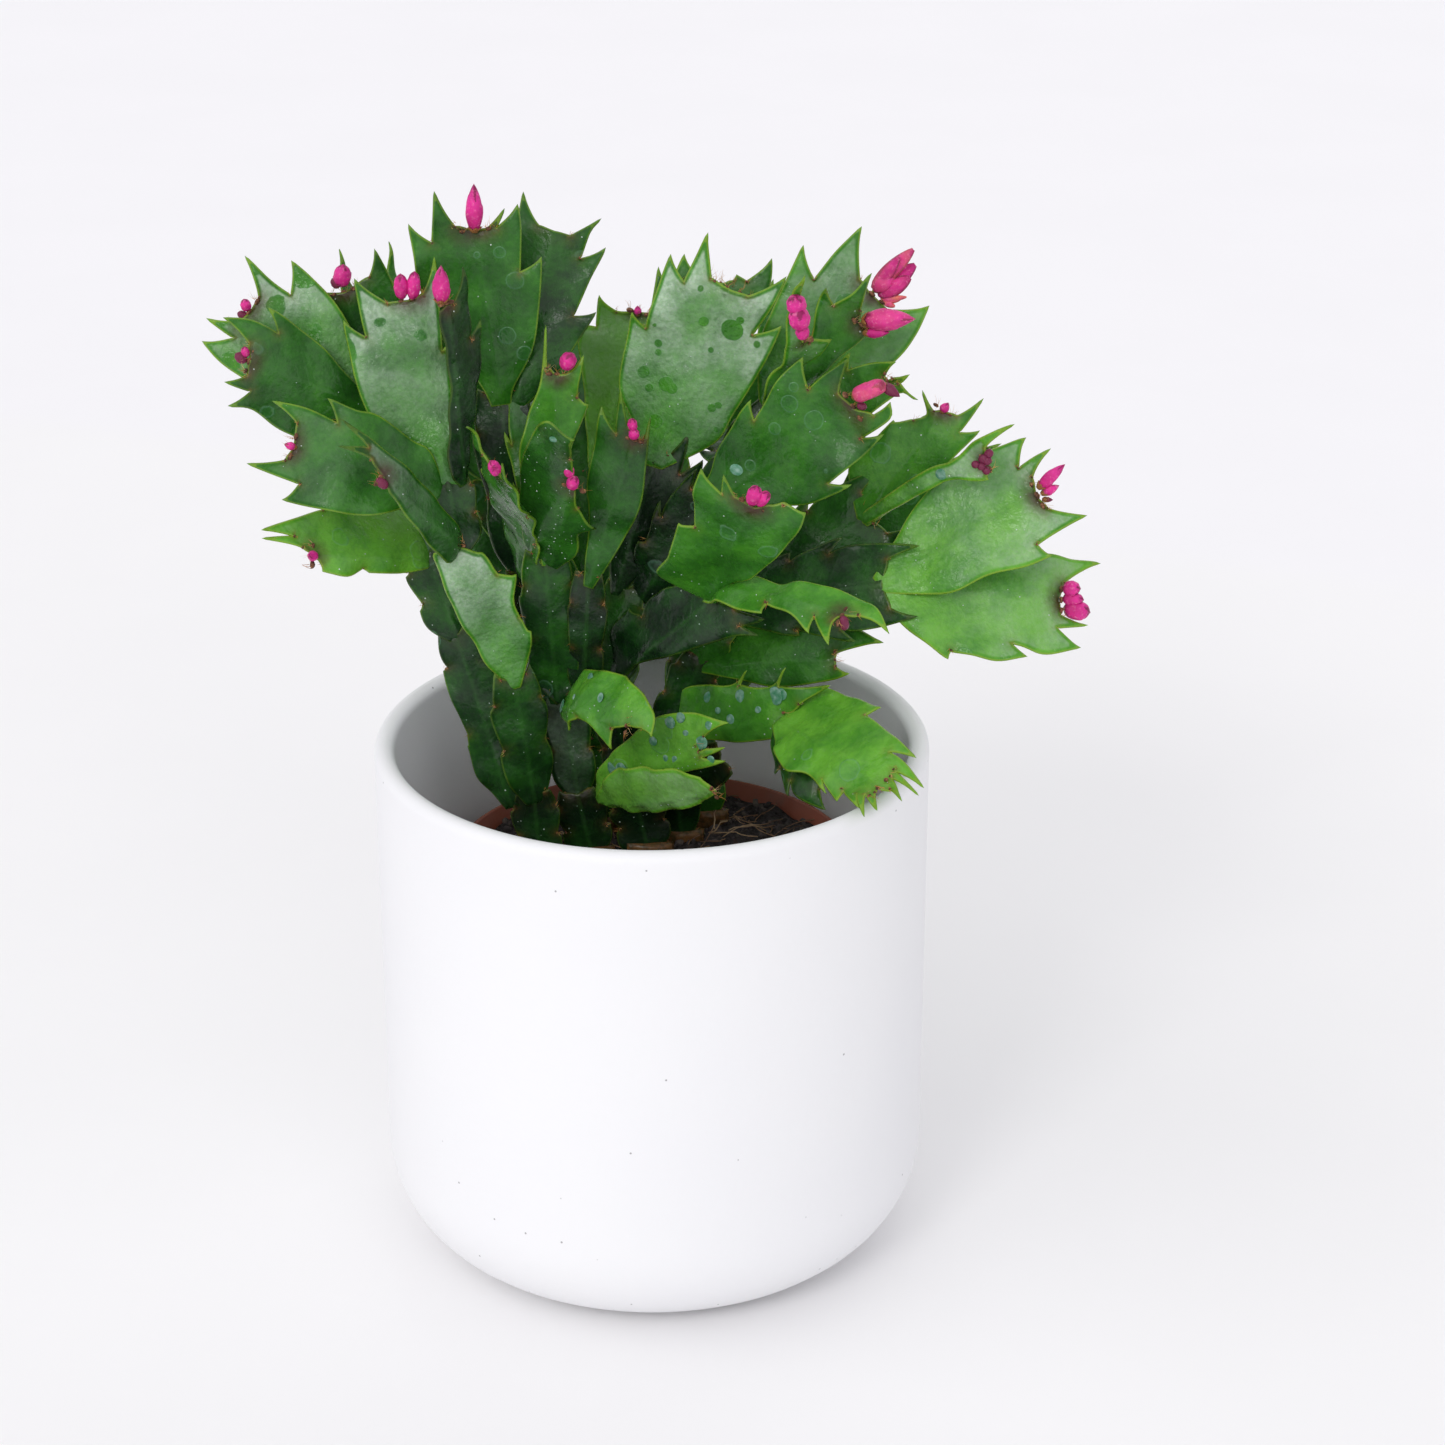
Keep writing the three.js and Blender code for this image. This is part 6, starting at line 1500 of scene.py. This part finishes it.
def budCluster(padName, made, generator):
    end = made["place"](0.0, midribEnd)
    if padName in seenPetals:
        for x, h, tipX, tipH, width, warm in seenPetals[padName]:
            lean = generator.uniform(*flower["lean"])
            start = seen(x, h, end[1])
            length, direction, sideways = budAxis(start, seen(tipX, tipH, end[1] - lean))
            yield petal(start, direction, np.cross(sideways, direction), length, width, flower["spread"],
                        flower["hook"], warm)
        x, h, tipX, tipH, width, warm = flowerHearts[padName]
        start = seen(x, h, end[1])
        length, direction, sideways = budAxis(start, seen(tipX, tipH, end[1]))
        yield budBody(start, direction, sideways, length, width, generator, "spindle", fresh, warm)
    elif padName in seenBuds:
        depth = end[1] - budForward.get(padName, 0)
        for x, h, tipX, tipH, width, lean, shape, freshness, warm in seenBuds[padName]:
            start = seen(x, h, depth - budShape["footLean"] * lean)
            length, direction, sideways = budAxis(start, seen(tipX, tipH, depth - lean))
            yield budBody(start, direction, sideways, length, width, generator, shape, freshness, warm)
            if shape != "ball":
                yield from calyxOf(start, direction, sideways, width)
    else:
        start = end - made["endDirection"] * budShape["sunk"]
        for lean, rise, length, width in plainBuds[padName]:
            direction = turnedAbout(made["endDirection"], made["side"], math.radians(rise))
            direction = turnedAbout(direction, made["endFace"], math.radians(-lean))
            sideways = made["side"] - direction * (direction @ made["side"])
            sideways /= np.linalg.norm(sideways)
            yield budBody(start, direction, sideways, length, width, generator)
            yield from calyxOf(start, direction, sideways, width)


def makeBuds():
    material = surfaceMaterial("pinkTepal", budPaint)
    for order, padName in enumerate(buddedPads):
        generator = np.random.default_rng(budShape["seed"] + order)
        shapes = list(budCluster(padName, frames[padName], generator))
        settle(joinedPiece("budsOn_" + padName, shapes, material), "bud_pink", "buds_" + padName)
    print("buds made:", len(buddedPads), "clusters")


details = growStems()
makeBuds()

# Small growth on the pads: corky areoles, bristles, and drops left from watering
areole = dict(size=0.75, endPlaces=(-0.22, 0.0, 0.22), endVaried=(0.7, 1.1), budded=1.3, plain=0.8,
              notchSize=(0.25, 0.45), leastTone=0.3, flatness=0.55, unevenness=0.0005, beyondEnd=0.005, seed=3)
bristle = dict(endCount=5, endLength=3, notchCount=4, notchLength=1.2, heights=(0.35, 1.15), thickness=0.07,
               tipRadius=0.01, spread=0.75, patch=0.5, wave=0.0016, waveScale=420.0, seed=8)
bead = dict(stretch=(0.8, 1.2), waveScale=1100.0)
drops = dict(flatness=0.16, subdivisions=4, seed=21)
specks = dict(flatness=0.6, subdivisions=1, sizes=(0.1, 0.25), smaller=1.6, each=7, fromMargin=0.6, fromStart=3)
# Flat drops that still lie on the pads, as they are seen: (x, h, radius)
lensDrops = dict(
    b16=[(-23.6, 6.9, 1.9), (-22.2, 7.1, 1.8), (-15.2, 13.8, 1.7), (-13, 9.3, 1.3), (-18.6, 9.2, 0.8)],
    b17=[(-9.4, -8.8, 2), (-7.2, -8.8, 2.2), (12.3, -2.1, 2), (4.8, 3.2, 1.6), (7, 4.2, 1.6),
         (14.5, 2.3, 1.1), (0.4, -1.6, 1.3), (6.3, -6.4, 1.1), (3.6, -6, 0.9), (15.2, -6.2, 1.1),
         (8.4, 0.2, 1)],
    d4=[(31.5, 9.8, 2.1), (33, 10.2, 1.6), (22.7, 9.6, 1.7), (14.8, 9.4, 1.8), (20.5, 4, 1.2), (27.6, 6.4, 1),
        (17.4, 6.2, 0.9)],
    c4=[(21.3, 66.9, 1.6)],
    b11=[(-24.6, 75.4, 1)],
    d12=[(73.4, 66, 1.6)],
)
# How many fine water specks, painted pale as glints, a pad has where they are denser
speckled = dict(a14=14, b4=16, b6=12, b10=18, b11=60, b16=14, b17=26, c4=14, c8=12, c11=12, d4=16, d10=16,
                d11=12)


def bristleTree(material):
    tree, given = newTree("areoleBristles", {"Each": 10, "Length": 0.002, "Thickness": 0.00005, "Spread": 0.7,
                                             "Patch": 0.0006, "Seed": 1})
    seed = given["Seed"]
    dots = outputOf(tree, "GeometryNodeMeshToPoints", {"Mesh": given["Geometry"]})
    many = outputOf(tree, "GeometryNodeDuplicateElements", {"Geometry": dots, "Amount": given["Each"]},
                   domain="POINT")
    low, high = (-1, -1, -1), (1, 1, 1)
    patch = vectorMath(tree, "SCALE", randomVector(tree, low, high, seed, 1), scale=given["Patch"])
    many = outputOf(tree, "GeometryNodeSetPosition", {"Geometry": many, "Offset": patch})
    stray = vectorMath(tree, "SCALE", randomVector(tree, low, high, seed, 2), scale=given["Spread"])
    aim = vectorMath(tree, "ADD", attributeOf(tree, "aim", "FLOAT_VECTOR"), stray)
    turn = outputOf(tree, "FunctionNodeAlignRotationToVector", {"Vector": aim}, axis="Z")
    hair = outputOf(tree, "GeometryNodeMeshCone", {
        "Vertices": 3, "Side Segments": 3, "Radius Top": bristle["tipRadius"] * mm,
        "Radius Bottom": given["Thickness"], "Depth": given["Length"]})
    height = randomNumber(tree, *bristle["heights"], seed, 3)
    tall = addNode(tree, "ShaderNodeCombineXYZ", {0: 1.0, 1: 1.0, 2: height})
    real = copiesOn(tree, many, hair, turn, tall.outputs[0])
    return endTree(tree, shaken(tree, real, bristle["wave"], bristle["waveScale"], 0.0), material)


def beadTree(name, material, subdivisions):
    # beads sit on the host's points: each flattened along its point's normal and scaled by its size
    tree, given = newTree(name, {"Flatness": 0.3, "Unevenness": 0.0, "Seed": 1})
    dots = outputOf(tree, "GeometryNodeMeshToPoints", {"Mesh": given["Geometry"]})
    aim = attributeOf(tree, "aim", "FLOAT_VECTOR")
    turn = outputOf(tree, "FunctionNodeAlignRotationToVector", {"Vector": aim}, axis="Z")
    ball = outputOf(tree, "GeometryNodeMeshIcoSphere", {"Radius": 1.0, "Subdivisions": subdivisions})
    stretch = randomNumber(tree, *bead["stretch"], given["Seed"], 1)
    shape = outputOf(tree, "ShaderNodeCombineXYZ", {0: 1.0, 1: stretch, 2: given["Flatness"]})
    real = copiesOn(tree, dots, ball, turn, vectorMath(tree, "SCALE", shape, scale=attributeOf(tree, "size")))
    return endTree(tree, shaken(tree, real, given["Unevenness"], bead["waveScale"], 1.0), material)


def pointHost(name, points, aims, sizes):
    host = pieceFrom(name, points, [], None)
    addLayer(host.data, "aim", "FLOAT_VECTOR", "vector", aims)
    addLayer(host.data, "size", "FLOAT", "value", np.asarray(sizes, dtype=np.float32) * mm)
    return host


def bristlePaint(tree, place):
    tone = noiseOf(tree, place, 500, 2)
    colour = rampOf(tree, tone, [(0.35, (0.36, 0.12, 0.03)), (0.55, (0.68, 0.34, 0.08)),
                                 (0.7, (0.75, 0.55, 0.3))])
    return {"Base Color": colour, "Roughness": 0.5}


def corkPaint(tree, place):
    tone = noiseOf(tree, place, 900, 3)
    colour = rampOf(tree, tone, [(0.35, (0.05, 0.018, 0.01)), (0.55, (0.16, 0.065, 0.03)),
                                 (0.7, (0.34, 0.17, 0.08))])
    return {"Base Color": colour, "Roughness": 0.85, "Normal": bumped(tree, tone, 0.6, 0.0004)}


def waterPaintedReflection(tree, place):
    # painted refraction and reflection: the pad's green seen through the drop and the bright room mirrored in
    # it, both broken up inside the drop
    ripple = noiseOf(tree, place, 620, 3)
    colour = rampOf(tree, ripple, [(0.36, (0.05, 0.2, 0.1)), (0.5, (0.11, 0.27, 0.18)),
                                   (0.66, (0.22, 0.38, 0.3))])
    return {"Base Color": colour, "Roughness": remap(tree, ripple, 0.3, 0.7, 0.08, 0.2),
            "Specular IOR Level": 0.5, "Normal": bumped(tree, ripple, 0.2, 0.0005)}


def speckPaintedGlint(tree, place):
    # painted glint: the tiny drops are coloured pale to stand in for their highlights
    tone = noiseOf(tree, place, 300, 1)
    colour = rampOf(tree, tone, [(0.35, (0.2, 0.34, 0.24)), (0.6, (0.62, 0.7, 0.66))])
    return {"Base Color": colour, "Roughness": 0.12}


def outwardAt(made, across, v):
    # along the pad's surface, away from its middle
    away = made["place"](across, v) - made["place"](0.0, 0.5)
    return away / np.linalg.norm(away)


def onPad(made, mesh, x, y):
    # the place on the pad's upper face over a point of its plan, and the way out of it there
    k = np.argmin(np.hypot(mesh["flat"][:, 0] - x, mesh["flat"][:, 1] - y))
    across, v = x / (made["width"] / 2), y / made["length"]
    out = made["place"](across, v, 1.0) - made["place"](across, v, 0.0)
    return made["place"](across, v, mesh["lift"][k] + mesh["thick"][k]), out


def growAreoles():
    # corky spots with bristles on the ends and in the notches of the pads
    generator = np.random.default_rng(areole["seed"])
    ends, notches = [], []
    for name, made, mesh in details:
        if name in buddedPads or padTonesWithPaintedLight.get(name, usualPad["tone"]) > areole["leastTone"]:
            for across in areole["endPlaces"]:
                size = generator.uniform(*areole["endVaried"]) * areole["size"]
                ends.append((made["place"](across, midribEnd + areole["beyondEnd"]), made["endDirection"],
                             size * areole["budded" if name in buddedPads else "plain"]))
        for notch in mesh["notches"]:
            share = (notch[0] / (made["width"] / 2), notch[1] / made["length"])
            notches.append((made["place"](*share), outwardAt(made, *share),
                            generator.uniform(*areole["notchSize"])))
    cork = surfaceMaterial("corkyAreole", corkPaint)
    grown = grow("areoles", beadTree("areoleBeads", cork, 2), pointHost("areoleHost", *zip(*ends + notches)),
                 flatness=areole["flatness"], unevenness=areole["unevenness"], seed=areole["seed"])
    settle(grown, "cactus_green")
    hair = surfaceMaterial("tanBristle", bristlePaint)
    for label, spots, kind in (("endBristles", ends, "end"), ("notchBristles", notches, "notch")):
        grown = grow(label, bristleTree(hair), pointHost(label + "Host", *zip(*spots)),
                     each=bristle[kind + "Count"], length=bristle[kind + "Length"] * mm,
                     thickness=bristle["thickness"] * mm, spread=bristle["spread"],
                     patch=bristle["patch"] * mm, seed=bristle["seed"])
        settle(grown, "cactus_green")
    print("areoles grown:", len(ends), "on the ends,", len(notches), "in the notches")


def strewDrops():
    # flat drops where the photograph shows them, and tiny water specks by chance, painted pale as glints
    generator = np.random.default_rng(drops["seed"])
    flat, fine = [], []
    for name, made, mesh in details:
        for x, h, radius in lensDrops.get(name, ()):
            across, v = placeSeenAt(made, (x, h))
            flat.append((*onPad(made, mesh, across * made["width"] / 2, v * made["length"]), radius))
        room = mesh["flat"][(mesh["gap"] > specks["fromMargin"]) & (mesh["flat"][:, 1] > specks["fromStart"])]
        for x, y in generator.choice(room, speckled.get(name, specks["each"]), replace=False):
            size = specks["sizes"][0] + np.ptp(specks["sizes"]) * generator.uniform() ** specks["smaller"]
            fine.append((*onPad(made, mesh, x, y), size))
    for label, paint, spots, kind in (("waterDrops", waterPaintedReflection, flat, drops),
                                      ("waterSpecks", speckPaintedGlint, fine, specks)):
        tree = beadTree(label + "Beads", surfaceMaterial(label, paint), kind["subdivisions"])
        grown = grow(label, tree, pointHost(label + "Host", *zip(*spots)), flatness=kind["flatness"],
                     seed=drops["seed"])
        settle(grown, "cactus_green")
        print(label, "strewn:", len(spots))


growAreoles()
strewDrops()

print("finished")
